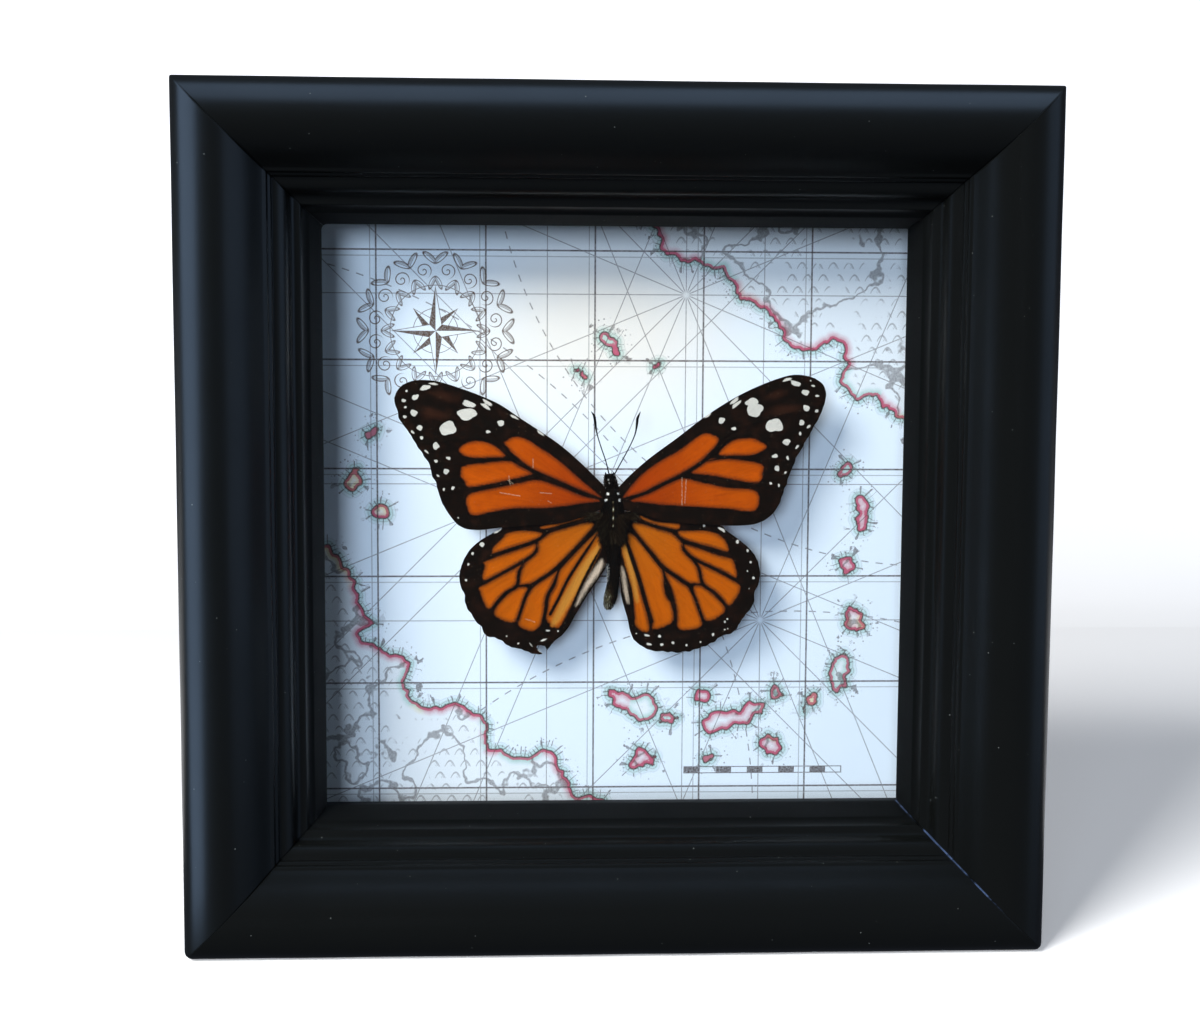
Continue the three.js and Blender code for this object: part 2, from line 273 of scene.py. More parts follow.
class Finish:
    """One procedural material, its nodes added one by one."""

    def __init__(self, name):
        self.material = bpy.data.materials.new(name)
        self.material.use_nodes = True
        self.tree = self.material.node_tree
        self.shader = self.tree.nodes["Principled BSDF"]
        self.output = self.tree.nodes["Material Output"]

    def feed(self, socket, value):
        """Links a shader value to a socket, or sets a constant on it."""
        if isinstance(value, Signal):
            self.tree.links.new(value.socket, socket)
        elif socket.type == "RGBA" and len(value) == 3:
            socket.default_value = (*value, 1.0)
        else:
            socket.default_value = value

    def node(self, kind, settings=None, sockets=(), output=0):
        """Adds a node, sets its settings, fills its sockets by name or order and gives one output."""
        made = self.tree.nodes.new(kind)
        for key, value in (settings or {}).items():
            setattr(made, key, value)
        pairs = sockets.items() if isinstance(sockets, dict) else enumerate(sockets)
        for key, value in pairs:
            self.feed(made.inputs[key], value)
        return Signal(self, made.outputs[output])

    def place(self):
        """Object coordinates in millimetres, as one vector."""
        where = self.node("ShaderNodeTexCoord", output="Object")
        return self.node("ShaderNodeVectorMath", {"operation": "SCALE"}, {"Vector": where, "Scale": 1 / MM})

    def axes(self, vector):
        """The three parts of a vector."""
        parts = self.node("ShaderNodeSeparateXYZ", sockets=(vector,))
        return [Signal(self, socket) for socket in parts.socket.node.outputs]

    def value(self, name):
        """A named value kept at the mesh's points."""
        return self.node("ShaderNodeAttribute", {"attribute_name": name}, output="Fac")

    def noise(self, place, scale, detail=2.0, roughness=0.5):
        """Cloudy noise from 0 to 1, its scale in lumps to the millimetre."""
        sockets = {"Vector": place, "Scale": scale, "Detail": detail, "Roughness": roughness}
        return self.node("ShaderNodeTexNoise", sockets=sockets)

    def cells(self, place, scale, output="Distance"):
        """Scattered cells: the distance to the nearest centre, or that cell's colour."""
        return self.node("ShaderNodeTexVoronoi", sockets={"Vector": place, "Scale": scale}, output=output)

    def mix(self, share, first, second):
        """A colour between two by a share."""
        settings = {"data_type": "RGBA", "blend_type": "MIX"}
        return self.node("ShaderNodeMix", settings, {0: share, 6: first, 7: second}, output=2)

    def bump(self, height, depth):
        """A Bump node whose full height is a depth in millimetres."""
        return self.node("ShaderNodeBump", sockets={"Height": height, "Distance": depth * MM})

    def surface(self, **sockets):
        """Fills the main shader's sockets, words joined by low lines standing for their names."""
        for name, value in sockets.items():
            self.feed(self.shader.inputs[name.replace("_", " ")], value)
        return self


# Shapes as whole arrays of points


class Shape:
    """Points in millimetres, faces as arrays of point numbers, and named values at the points."""

    def __init__(self, points, faces, **values):
        self.points = points
        self.faces = faces
        self.values = values

    def outward(self):
        """Turns every face over if the closed shape's volume comes out negative."""
        volume = 0.0
        for face in self.faces:
            corners = self.points[face]
            for k in range(1, face.shape[1] - 1):
                volume += np.einsum("ij,ij->", corners[:, 0], np.cross(corners[:, k], corners[:, k + 1]))
        if volume < 0:
            self.faces = [face[:, ::-1] for face in self.faces]
        return self

    def moved(self, offset):
        """Shifts every point by an offset."""
        self.points = self.points + offset
        return self


def join(shapes):
    """One shape from several, values that one lacks being zero there."""
    names = {name for shape in shapes for name in shape.values}
    starts = np.cumsum([0] + [len(shape.points) for shape in shapes])
    faces = [face + start for shape, start in zip(shapes, starts) for face in shape.faces]
    values = {
        name: np.concatenate([shape.values.get(name, np.zeros(len(shape.points))) for shape in shapes])
        for name in names
    }
    return Shape(np.concatenate([shape.points for shape in shapes]), faces, **values)


def add_piece(name, shape, finish, slot, *nodes, crease=35):
    """Puts a shape into a mesh object at the origin, which rides on the one body and stands for its nodes."""
    mesh = bpy.data.meshes.new(name)
    corners = np.concatenate([face.ravel() for face in shape.faces])
    sizes = np.concatenate([np.full(len(face), face.shape[1]) for face in shape.faces])
    mesh.vertices.add(len(shape.points))
    mesh.vertices.foreach_set("co", (shape.points * MM).ravel())
    mesh.loops.add(len(corners))
    mesh.loops.foreach_set("vertex_index", corners.astype(np.int32))
    mesh.polygons.add(len(sizes))
    mesh.polygons.foreach_set("loop_start", (np.cumsum(sizes) - sizes).astype(np.int32))
    mesh.update(calc_edges=True)
    if mesh.validate():
        raise ValueError(f"the mesh of {name} has faults")
    for key, values in shape.values.items():
        mesh.attributes.new(key, "FLOAT", "POINT").data.foreach_set("value", values.astype(np.float32))
    mesh.shade_smooth()
    mesh.set_sharp_from_angle(angle=math.radians(crease))
    mesh.materials.append(finish.material)
    piece = bpy.data.objects.new(name, mesh)
    bpy.context.scene.collection.objects.link(piece)
    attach(piece, "root")
    if nodes:
        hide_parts(*nodes)
    return piece


def smooth(value, low, high):
    """Smooth step of an array from 0 at low to 1 at high."""
    t = np.clip((value - low) / (high - low), 0, 1)
    return t * t * (3 - 2 * t)


def unit(vectors):
    """Vectors of length one."""
    return vectors / np.maximum(np.linalg.norm(vectors, axis=-1, keepdims=True), TINY)


def ripple(places, wave, seed, waves=7):
    """A gentle uneven field, mostly from -1 to 1: plane waves near one wavelength in seeded directions."""
    rng = np.random.default_rng(seed)
    directions = unit(rng.normal(size=(waves, places.shape[-1])))
    rates = TURN / (wave * rng.uniform(0.7, 1.6, waves))
    phases = rng.uniform(0, TURN, waves)
    return np.sin(places @ (directions * rates[:, None]).T + phases).sum(axis=-1) / math.sqrt(waves)


def grid_faces(rows, columns, ring=False):
    """Quads between the neighbours of a grid of points; ring joins the last column to the first."""
    row, column = np.meshgrid(np.arange(rows - 1), np.arange(columns if ring else columns - 1), indexing="ij")
    after = (column + 1) % columns
    here, below = row * columns, (row + 1) * columns
    return np.stack([here + column, here + after, below + after, below + column], axis=-1).reshape(-1, 4)


def tube(rings, **values):
    """A closed skin: quads from each ring of points to the next, and one face over each end ring."""
    rows, columns = rings.shape[:2]
    ends = [np.arange(columns)[None, ::-1], (rows - 1) * columns + np.arange(columns)[None, :]]
    return Shape(rings.reshape(-1, 3), [grid_faces(rows, columns, ring=True), *ends], **values).outward()


def bezier(controls, count):
    """A Bezier curve of any degree: control points weighted by the Bernstein polynomials."""
    controls = np.asarray(controls, float)
    degree = len(controls) - 1
    t = np.linspace(0, 1, count)[:, None]
    k = np.arange(degree + 1)
    choose = np.array([math.comb(degree, int(i)) for i in k])
    return (choose * t**k * (1 - t) ** (degree - k)) @ controls


def even(line, count):
    """A broken line's points spread evenly along its length."""
    steps = np.linalg.norm(np.diff(line, axis=0), axis=1)
    along = np.concatenate([[0], np.cumsum(steps)])
    want = np.linspace(0, along[-1], count)
    return np.stack([np.interp(want, along, line[:, axis]) for axis in range(line.shape[1])], axis=1)


def flow(points, count, closed=False, span_steps=14):
    """A Catmull-Rom curve through points, spread evenly: each span blends the slopes of its two ends."""
    points = np.asarray(points, float)
    if closed:
        padded = np.concatenate([points[-1:], points, points[:2]])
    else:
        padded = np.concatenate([2 * points[:1] - points[1:2], points, 2 * points[-1:] - points[-2:-1]])
    before, start, end, after = padded[:-3], padded[1:-2], padded[2:-1], padded[3:]
    t = np.linspace(0, 1, span_steps, endpoint=False)[:, None, None]
    curve = start + 0.5 * t * (end - before) + t**2 * (before - 2.5 * start + 2 * end - 0.5 * after)
    curve = curve + t**3 * (1.5 * (start - end) + 0.5 * (after - before))
    line = curve.transpose(1, 0, 2).reshape(-1, points.shape[1])
    return even(np.concatenate([line, points[:1] if closed else points[-1:]]), count)


def line_distance(places, line):
    """Least distance from each place to a broken line, and the length along the line to the nearest point."""
    start, step = line[:-1], np.diff(line, axis=0)
    lengths = np.maximum(np.linalg.norm(step, axis=1), TINY)
    offset = places[:, None, :] - start[None]
    share = np.clip(np.einsum("psk,sk->ps", offset, step) / lengths**2, 0, 1)
    gap = np.linalg.norm(offset - share[..., None] * step, axis=2)
    nearest = gap.argmin(axis=1)
    rows = np.arange(len(places))
    travelled = (np.cumsum(lengths) - lengths)[nearest] + share[rows, nearest] * lengths[nearest]
    return gap[rows, nearest], travelled


# Places worked on at once, to keep the arrays small
BLOCK = 4000


def inside_distance(places, outline, margin=4.0):
    """Distance inside a closed outline, negative outside by the even-odd rule, and the length along it.

    Places further than the margin outside its box are given minus the margin."""
    depth = np.full(len(places), -margin)
    along = np.zeros(len(places))
    near = np.all((places > outline.min(axis=0) - margin) & (places < outline.max(axis=0) + margin), axis=1)
    start, end = outline[:-1], outline[1:]
    for block in np.array_split(np.flatnonzero(near), near.sum() // BLOCK + 1):
        x, z = places[block, 0:1], places[block, 1:2]
        spans = (start[:, 1] > z) != (end[:, 1] > z)
        rise = np.where(end[:, 1] == start[:, 1], 1, end[:, 1] - start[:, 1])
        crossing = start[:, 0] + (z - start[:, 1]) * (end[:, 0] - start[:, 0]) / rise
        inside = (spans & (x < crossing)).sum(axis=1) % 2 == 1
        gap, along[block] = line_distance(places[block], outline)
        depth[block] = np.where(inside, gap, -gap)
    return depth, along


CORNER_STEPS = 6
ARRIS_STEPS = 4
LEAST_CORNER = 0.01


def rounded_outline(half_a, half_b, corner):
    """A rectangle's outline with a quarter circle at each corner."""
    angle = np.linspace(0, math.pi / 2, CORNER_STEPS) + np.arange(4)[:, None] * math.pi / 2
    side_a = np.array((1, -1, -1, 1))[:, None] * (half_a - corner)
    side_b = np.array((1, 1, -1, -1))[:, None] * (half_b - corner)
    return np.stack([side_a + corner * np.cos(angle), side_b + corner * np.sin(angle)], -1).reshape(-1, 2)


def plate(low, high, corner, arris, thin=1):
    """A flat piece between two corners: rounded outlines, drawn in by the arris at both faces."""
    half, centre = (high - low) / 2, (high + low) / 2
    across = [axis for axis in range(3) if axis != thin]
    angle = np.linspace(0, math.pi / 2, ARRIS_STEPS)
    inset = arris * (1 - np.sin(angle))
    depth = half[thin] - arris * (1 - np.cos(angle))
    rings = np.zeros((2 * ARRIS_STEPS, 4 * CORNER_STEPS, 3))
    for ring, (draw, deep) in enumerate(zip([*inset, *inset[::-1]], [*-depth, *depth[::-1]])):
        rings[ring][:, across] = rounded_outline(*(half[across] - draw), max(corner - draw, LEAST_CORNER))
        rings[ring][:, thin] = deep
    return tube(rings + centre)


# Frame rails: a stepped section carried along each side and cut at the mitres

# Section points are the distance in from the outer side and the distance behind the front
SECTION_START = (0.0, 45.6)
SECTION_STROKES = (
    ((0.0, 5.5),),
    ((0.0, 2.2), (2.6, 0.0), (6.5, 0.0)),
    ((10.5, 0.0), (13.5, 2.6), (16.0, 6.2)),
    ((17.1, 7.6),),
    ((18.0, 7.8), (17.8, 8.7)),
    ((18.7, 8.9), (18.5, 9.8)),
    ((19.6, 9.9), (20.9, 10.6), (21.3, 11.9)),
    ((21.5, 13.4), (22.4, 13.7)),
    ((23.6, 13.9),),
    ((23.9, 15.6), (25.0, 15.9)),
    ((26.7, 22.0),),
    ((26.7, 22.7),),
)
SECTION_BACK = ((21.3, 22.7), (21.3, 45.6), (20.9, 46.0), (0.4, 46.0))
SECTION_POINTS = 130
STROKE_STEP = 0.1
ARRIS_BLUR = 2.0
BLUR_REACH = 6
LENGTH_WEIGHT = 0.2
TURN_WEIGHT = 3.0
MITRE_GAP = 0.02
SHARP_FILLET = 0.05
GROOVE_DEEP = 0.05
GROOVE_WIDE = 0.14
SEAM_WIDE = 0.3
SEAM_FROM = (9.0, 13.0)
SECTION_PITCH = 0.4
PAINT_WAVE = 26.0
PAINT_UNEVEN = 0.02
END_STEPS = np.array((0, 0.06, 0.12, 0.2, 0.3, 0.45, 0.7, 1.0, 1.4, 1.9, 2.6, 3.6, 5.0, 7.0, 10.0))
MIDDLE_STEPS = 26
LIP_DULL = (23.2, 24.8)
LIP_FROM = 25.2
LIP_FULL = 26.3


def moulding_section():
    """The rail's section as a closed loop: Bezier strokes, blurred a little as paint rounds each edge.

    The blurred line is thinned to points that lie closer together where it turns."""
    line = [np.array([SECTION_START])]
    for stroke in SECTION_STROKES:
        controls = np.array([line[-1][-1], *stroke])
        reach = np.linalg.norm(np.diff(controls, axis=0), axis=1).sum()
        line.append(bezier(controls, int(reach / STROKE_STEP) + 2)[1:])
    line = np.concatenate(line)
    weight = np.exp(-0.5 * (np.arange(-BLUR_REACH, BLUR_REACH + 1) / ARRIS_BLUR) ** 2)
    weight = weight / weight.sum()
    padded = np.pad(line, ((BLUR_REACH, BLUR_REACH), (0, 0)), mode="edge")
    blurred = np.stack([np.convolve(padded[:, axis], weight, "valid") for axis in (0, 1)], axis=1)
    blurred[[0, -1]] = line[[0, -1]]
    step = np.diff(blurred, axis=0)
    heading = np.unwrap(np.arctan2(step[:, 1], step[:, 0]))
    turned = np.abs(np.diff(heading, prepend=heading[0]))
    effort = LENGTH_WEIGHT * np.linalg.norm(step, axis=1) + TURN_WEIGHT * turned
    along = np.concatenate([[0], np.cumsum(effort)])
    want = np.linspace(0, along[-1], SECTION_POINTS)
    front = np.stack([np.interp(want, along, blurred[:, axis]) for axis in (0, 1)], axis=1)
    return np.concatenate([front, SECTION_BACK])


def half_rail(section, normals, corner, fillet):
    """Half a rail from its mitred end to its middle: places along it, in from the side and behind the front.

    A corner radius bends the outer lines round a quarter circle, a narrow groove dips at the mitre, and a
    fillet of paint adds to the lip near the corner of the opening."""
    inward, behind = section[:, 0:1], section[:, 1:2]
    lip = smooth(inward, LIP_FROM, LIP_FULL)
    first = fillet * (1 - math.sqrt(0.5))
    bent = HALF_SIDE - corner + (corner - inward) * math.sqrt(0.5)
    end = np.where(inward < corner, bent, HALF_SIDE - inward) - lip * first - MITRE_GAP
    onward = 1 - np.linspace(0, 1, MIDDLE_STEPS)[None, 1:]
    along = np.concatenate([end - END_STEPS[None], (end - END_STEPS[-1]) * onward], axis=1)
    gap = end - along
    groove = GROOVE_DEEP * np.exp(-((gap / GROOVE_WIDE) ** 2))
    from_corner = np.minimum(first + gap, fillet)
    fill = lip * (fillet - np.sqrt(fillet**2 - (fillet - from_corner) ** 2))
    inward = inward + fill - groove * normals[:, 0:1]
    past = np.maximum(along - (HALF_SIDE - corner), 0)
    left = np.maximum(corner - inward, 0)
    inward = np.where(inward < corner, corner - np.sqrt(np.maximum(left**2 - past**2, 0)), inward)
    return along, inward, behind - groove * normals[:, 1:2]


def rail_shape(section, quarter_turns, corners, fillets, glints):
    """One rail: two half rails set end to end along X at the foot, then turned about the frame's middle.

    Its points keep how far they lie on the dull lip and on the painted highlight along a mitre."""
    normals = unit(np.roll(section, -1, axis=0) - np.roll(section, 1, axis=0))[:, ::-1] * (1, -1)
    left = half_rail(section, normals, corners[0], fillets[0])
    right = half_rail(section, normals, corners[1], fillets[1])
    along, inward, behind = (
        np.concatenate([way * near, far[:, -2::-1]], axis=1)
        for way, near, far in zip((-1, 1, 1), left, right)
    )
    arc = np.arange(len(section))[:, None] * SECTION_PITCH + along * 0
    uneven = PAINT_UNEVEN * ripple(np.stack([along, arc], axis=-1), PAINT_WAVE, quarter_turns)
    inward = inward + uneven * normals[:, 0:1]
    behind = behind + uneven * normals[:, 1:2]
    from_mitre = HALF_SIDE - section[:, 0:1] - np.abs(along)
    # The seam value marks where the painted highlight runs along one mitre, from the opening part way out.
    seam = smooth(from_mitre, SEAM_WIDE, 0) * smooth(section[:, 0:1], *SEAM_FROM)
    seam = seam * np.where(along < 0, *glints)
    x, z = along, inward - HALF_SIDE
    for _ in range(quarter_turns):
        x, z = -z, x
    rings = np.stack([x, FRONT_Y + behind, z + HALF_SIDE], axis=-1).transpose(1, 0, 2)
    return tube(rings, lip=np.tile(smooth(section[:, 0], *LIP_DULL), len(rings)), seam=seam.T.ravel())


def satin_paint(look):
    """Black satin paint: faint orange peel, rubbed patches in the gloss, a scatter of pale dust and a painted
    highlight along one mitre.
    """
    paint = Finish("satin_black_paint")
    place = paint.place()
    peel = paint.noise(place, 1.1, detail=3)
    cloud = paint.noise(place, 0.06, detail=3)
    lint = (paint.noise(place, 0.9) - 0.5) * 0.04
    speck = (paint.cells(place, 0.3) + lint).ramp(0.045, 0.015)
    lip = paint.value("lip")
    base = paint.mix(cloud * 0.5 + lip * 0.5, look.paint, toned(look.paint, 0.6))
    base = paint.mix(speck * 0.4, base, look.dust)
    # Painted highlight: a broken pale line along the lower-right mitre, standing in for light caught by the
    # joint.
    broken = paint.noise(place, 0.35, detail=2).ramp(0.38, 0.6)
    base = paint.mix(paint.value("seam") * broken * 0.8, base, look.glint)
    roughness = look.roughness + (cloud - 0.5) * 0.12 + (peel - 0.5) * 0.05 + speck * 0.3 + lip * 0.5
    return paint.surface(
        Base_Color=base, Roughness=roughness, Normal=paint.bump(peel, 0.006), Specular_IOR_Level=0.45
    )


class SPECIMEN_OT_rails(bpy.types.Operator):
    """Carry the stepped moulding round the frame as four mitred rails"""

    bl_idname = "specimen.rails"
    bl_label = "Frame rails"

    def execute(self, context):
        look = context.scene.specimen.paint
        finish = satin_paint(look)
        section = moulding_section()
        low, high, fillet = look.low_corner / MM, look.high_corner / MM, look.sight_fillet / MM
        corners = (low, high, high, low)
        fillets = (SHARP_FILLET, SHARP_FILLET, fillet, SHARP_FILLET)
        # Only the lower-right mitre gets the painted highlight.
        glints = (1.0, 0.0, 0.0, 0.0)
        for turn, name in enumerate(("bottom_rail", "right_rail", "top_rail", "left_rail")):
            ends = [[kind[turn - 1], kind[turn]] for kind in (corners, fillets, glints)]
            shape = rail_shape(section, turn, *ends)
            add_piece(f"{name}_moulding", shape, finish, "black_paint", name, crease=50)
        return {"FINISHED"}


# Pane, spacer strips and back

GLASS_IOR = 1.5
WEAVE_RATE = 4.2


def clear_glass():
    """Clear glass: light passes straight through, less what the Fresnel share mirrors, with a little dust."""
    glass = Finish("clear_glass")
    dust = glass.cells(glass.place(), 0.11).ramp(0.012, 0.006) * 0.12
    share = glass.node("ShaderNodeFresnel", sockets={"IOR": GLASS_IOR}) * 0.5 + dust
    through = glass.node("ShaderNodeBsdfTransparent", sockets={"Color": (0.985, 0.992, 0.99)})
    mirror = glass.node("ShaderNodeBsdfGlossy", sockets={"Color": (1, 1, 1), "Roughness": 0.03})
    both = glass.node("ShaderNodeMixShader", sockets=(share, through, mirror))
    glass.feed(glass.output.inputs["Surface"], both)
    return glass


def black_card(look):
    """Dark pressed card: matted fibre in its colour and a soft tooth."""
    card = Finish("black_card")
    place = card.place()
    fibre = card.noise(place, 3.0, detail=4, roughness=0.7)
    base = card.mix(fibre, toned(look.card, 0.6), toned(look.card, 1.5))
    return card.surface(Base_Color=base, Roughness=0.75 + fibre * 0.2, Normal=card.bump(fibre, 0.03))


def pressed_board(look):
    """Hardboard back: flecked fibre, scuffs and a pressed mesh pattern."""
    board = Finish("pressed_board")
    place = board.place()
    x, _, z = board.axes(place)
    fleck = board.noise(place, 2.4, detail=5, roughness=0.75)
    stain = board.noise(place, 0.035, detail=3)
    drawn_out = board.node("ShaderNodeMapping", sockets={"Vector": place, "Scale": (0.05, 1, 1.4)})
    scuff = board.noise(drawn_out, 0.6)
    weave = (x * WEAVE_RATE).math("SINE") * (z * WEAVE_RATE).math("SINE")
    base = board.mix(fleck, toned(look.board, 0.55), toned(look.board, 1.3))
    base = board.mix(stain.ramp(0.35, 0.75) * 0.35, base, toned(look.board, 0.5))
    base = board.mix(scuff.ramp(0.66, 0.8) * 0.3, base, screen(214, 192, 160))
    height = weave * 0.4 + fleck
    return board.surface(Base_Color=base, Roughness=0.7 + fleck * 0.2, Normal=board.bump(height, 0.05))


def bare_metal(name, tint, tarnish):
    """Rolled sheet metal: drawn lines and cloudy tarnish."""
    metal = Finish(name)
    place = metal.place()
    drawn_out = metal.node("ShaderNodeMapping", sockets={"Vector": place, "Scale": (0.4, 6, 6)})
    drawn = metal.noise(drawn_out, 2.0)
    cloud = metal.noise(place, 0.5, detail=4)
    base = metal.mix(cloud.ramp(0.35, 0.75) * 0.8, tint, tarnish)
    roughness = 0.26 + drawn * 0.14 + cloud * 0.16
    return metal.surface(Base_Color=base, Metallic=1.0, Roughness=roughness, Normal=metal.bump(drawn, 0.01))


class SPECIMEN_OT_pane(bpy.types.Operator):
    """Set the glass behind the lip of the rails"""

    bl_idname = "specimen.pane"
    bl_label = "Glass pane"

    def execute(self, context):
        shape = plate(*node_box("glass_pane"), corner=0.4, arris=0.15)
        add_piece("clear_pane", shape, clear_glass(), "pane", "glass_pane")
        return {"FINISHED"}


class SPECIMEN_OT_liners(bpy.types.Operator):
    """Stand the four dark strips that hold the glass off the chart"""

    bl_idname = "specimen.liners"
    bl_label = "Spacer strips"

    def execute(self, context):
        finish = black_card(context.scene.specimen.back)
        for side, thin in (("top", 2), ("bottom", 2), ("left", 0), ("right", 0)):
            node = f"liner_{side}"
            shape = plate(*node_box(node), corner=0.3, arris=0.2, thin=thin)
            add_piece(f"{side}_spacer", shape, finish, "black_card", node)
        return {"FINISHED"}


TAB_STEPS = 24
TAB_BOW = 0.22
TAB_TIP = 3.0
TAB_CORNER = 0.3
TAB_BLUNT = 0.98


def tab_shape(low, high):
    """A bendable tab: a flat rounded section carried from the rail inwards, bowed and round at its tip."""
    middle, size = (low + high) / 2, high - low
    far = middle - (0, 0, HALF_SIDE)
    reach = 0 if size[0] > size[2] else 2
    side = 2 - reach
    t = np.linspace(0, 1, TAB_STEPS)
    outer, inner = (high, low) if far[reach] > 0 else (low, high)
    from_tip = (1 - t) * size[reach]
    narrow = np.sqrt(1 - np.clip(1 - from_tip / TAB_TIP, 0, TAB_BLUNT) ** 2)
    section = rounded_outline(size[side] / 2, size[1] / 2, size[1] * TAB_CORNER)
    rings = np.zeros((TAB_STEPS, len(section), 3))
    rings[..., reach] = (outer[reach] + (inner[reach] - outer[reach]) * t)[:, None]
    rings[..., side] = middle[side] + narrow[:, None] * section[:, 0]
    rings[..., 1] = (middle[1] + TAB_BOW * np.sin(math.pi * t))[:, None] + section[:, 1]
    return tube(rings)


class SPECIMEN_OT_backing(bpy.types.Operator):
    """Close the back with a board held by eight bendable tabs"""

    bl_idname = "specimen.backing"
    bl_label = "Backing board and tabs"

    def execute(self, context):
        look = context.scene.specimen.back
        board = plate(*node_box("backing_board"), corner=0.5, arris=0.3)
        add_piece("hardboard_back", board, pressed_board(look), "board", "backing_board")
        steel = bare_metal("grey_steel", look.steel, toned(look.steel, 0.45))
        for number in range(1, 9):
            node = f"retainer_tab_{number}"
            add_piece(f"bent_tab_{number}", tab_shape(*node_box(node)), steel, "steel", node)
        return {"FINISHED"}


TOOTH_COUNT = 9
TOOTH_PITCH = 3.0
TOOTH_HEIGHT = 1.6
END_STEPS_ROUND = 14
NAIL_SIDES = 28
NAIL_DOME = 0.42
DOME_STEPS = 8
NAIL_SHANK = 0.6
NAIL_HEAD = 0.5
NAIL_POINT = 0.02
HANGER_EDGE = 0.12


def hanger_shape(low, high):
    """The hanger's plate: half round ends and a row of notches below, drawn through its thickness."""
    centre, half = (low + high) / 2, (high - low) / 2
    corner = np.arange(2 * TOOTH_COUNT + 1)
    across = (corner / 2 - TOOTH_COUNT / 2) * TOOTH_PITCH
    notch = np.stack([across, (corner % 2) * TOOTH_HEIGHT - half[2]], axis=1)
    angle = np.linspace(-math.pi / 2, math.pi / 2, END_STEPS_ROUND)
    right = np.stack([half[0] - half[2] + half[2] * np.cos(angle), half[2] * np.sin(angle)], axis=1)
    outline = np.concatenate([notch, right, -right])
    rings = np.zeros((2, len(outline), 3))
    rings[..., 0] = outline[:, 0]
    rings[..., 1] = np.array((-half[1], half[1]))[:, None]
    rings[..., 2] = outline[:, 1]
    return tube(rings + centre)


def nail_shape(low, high):
    """A small nail: a shank, and a domed head turned about the nail's axis."""
    centre = (low + high) / 2
    radius = (high[0] - low[0]) / 2
    dome = np.linspace(0, math.pi / 2, DOME_STEPS)
    heads = np.stack([radius * np.cos(dome), high[1] - NAIL_DOME * (1 - np.sin(dome))], axis=1)
    heads[-1, 0] = NAIL_POINT
    under = high[1] - NAIL_HEAD
    point = (NAIL_POINT, low[1]), (NAIL_SHANK, low[1] + 2 * NAIL_SHANK)
    shank = (NAIL_SHANK, under), (radius, under)
    profile = np.concatenate([point, shank, heads])
    angle = np.linspace(0, TURN, NAIL_SIDES, endpoint=False)
    rings = np.zeros((len(profile), NAIL_SIDES, 3))
    rings[..., 0] = centre[0] + profile[:, 0:1] * np.cos(angle)
    rings[..., 1] = profile[:, 1:2]
    rings[..., 2] = centre[2] + profile[:, 0:1] * np.sin(angle)
    return tube(rings)


class SPECIMEN_OT_hanger(bpy.types.Operator):
    """Nail a sawtooth hanger to the back of the top rail"""

    bl_idname = "specimen.hanger"
    bl_label = "Sawtooth hanger"

    def execute(self, context):
        look = context.scene.specimen.back
        brass = bare_metal("brassed_steel", look.brass, screen(112, 84, 44))
        hanger = add_piece("toothed_hanger", hanger_shape(*node_box("sawtooth_hanger")), brass,
                           "brassed_steel", "sawtooth_hanger")
        edge = hanger.modifiers.new("soft_edges", "BEVEL")
        edge.width = HANGER_EDGE * MM
        edge.segments = 2
        for number in (1, 2):
            node = f"hanger_nail_{number}"
            add_piece(f"domed_nail_{number}", nail_shape(*node_box(node)), brass, "brassed_steel", node)
        return {"FINISHED"}


# Printed chart: an invented sea with shores, ruled lines and a compass rose

CHART_STEPS = 288
CHART_WAVE = 38.0
CHART_UNEVEN = 0.04
CHART_SEED = 9
SHORE_STEP = 0.3
SHORE_SHARE = 0.16
SHORE_SEED = 50
LAND_POINTS = 700
ISLAND_POINTS = 24
ISLAND_LEAST = 12
OPEN_SEA = -9.0
SHORE_WAVES = ((14.0, 1.3), (6.0, 0.7), (2.8, 0.4), (1.3, 0.2))
# Shores are places right of and above the sheet's middle, closed outside the sheet
NORTH_LAND = (
    (4, 72), (7, 62), (15, 55), (24, 53), (27, 46), (36, 43), (41, 36), (49, 35), (52, 27), (60, 24),
    (72, 20), (76, 74),
)
SOUTH_LAND = (
    (-72, -8), (-60, -10), (-54, -17), (-55, -27), (-46, -33), (-42, -42), (-31, -44), (-25, -53), (-14, -54),
    (-8, -61), (-5, -72), (-74, -74),
)
# Islands are place, mean radius, stretch and angle in degrees
ISLANDS = (
    (4, -42, 2.6, 2.0, -20), (13, -46, 1.7, 1.6, 10), (20, -41, 1.2, 1.4, 40), (28, -45, 2.9, 2.3, 15),
    (37, -40, 1.4, 1.5, -30), (44, -43, 2.0, 1.5, 60), (51, -35, 2.4, 2.0, 80), (54, -24, 1.5, 1.8, 95),
    (52, -12, 1.3, 1.5, 70), (55, -1, 1.8, 2.0, 100), (-55, 8, 1.6, 1.7, 75), (-52, 17, 1.0, 1.4, 30),
    (-50, 0, 0.9, 1.2, 0), (0, 36, 1.5, 1.8, -50), (-7, 30, 1.0, 1.5, -40), (10, 32, 0.9, 1.4, 20),
    (36, -52, 1.2, 1.7, -10), (8, -55, 1.5, 1.9, 25), (22, -55, 1.0, 1.3, 0), (51, 9, 1.0, 1.3, 60),
)


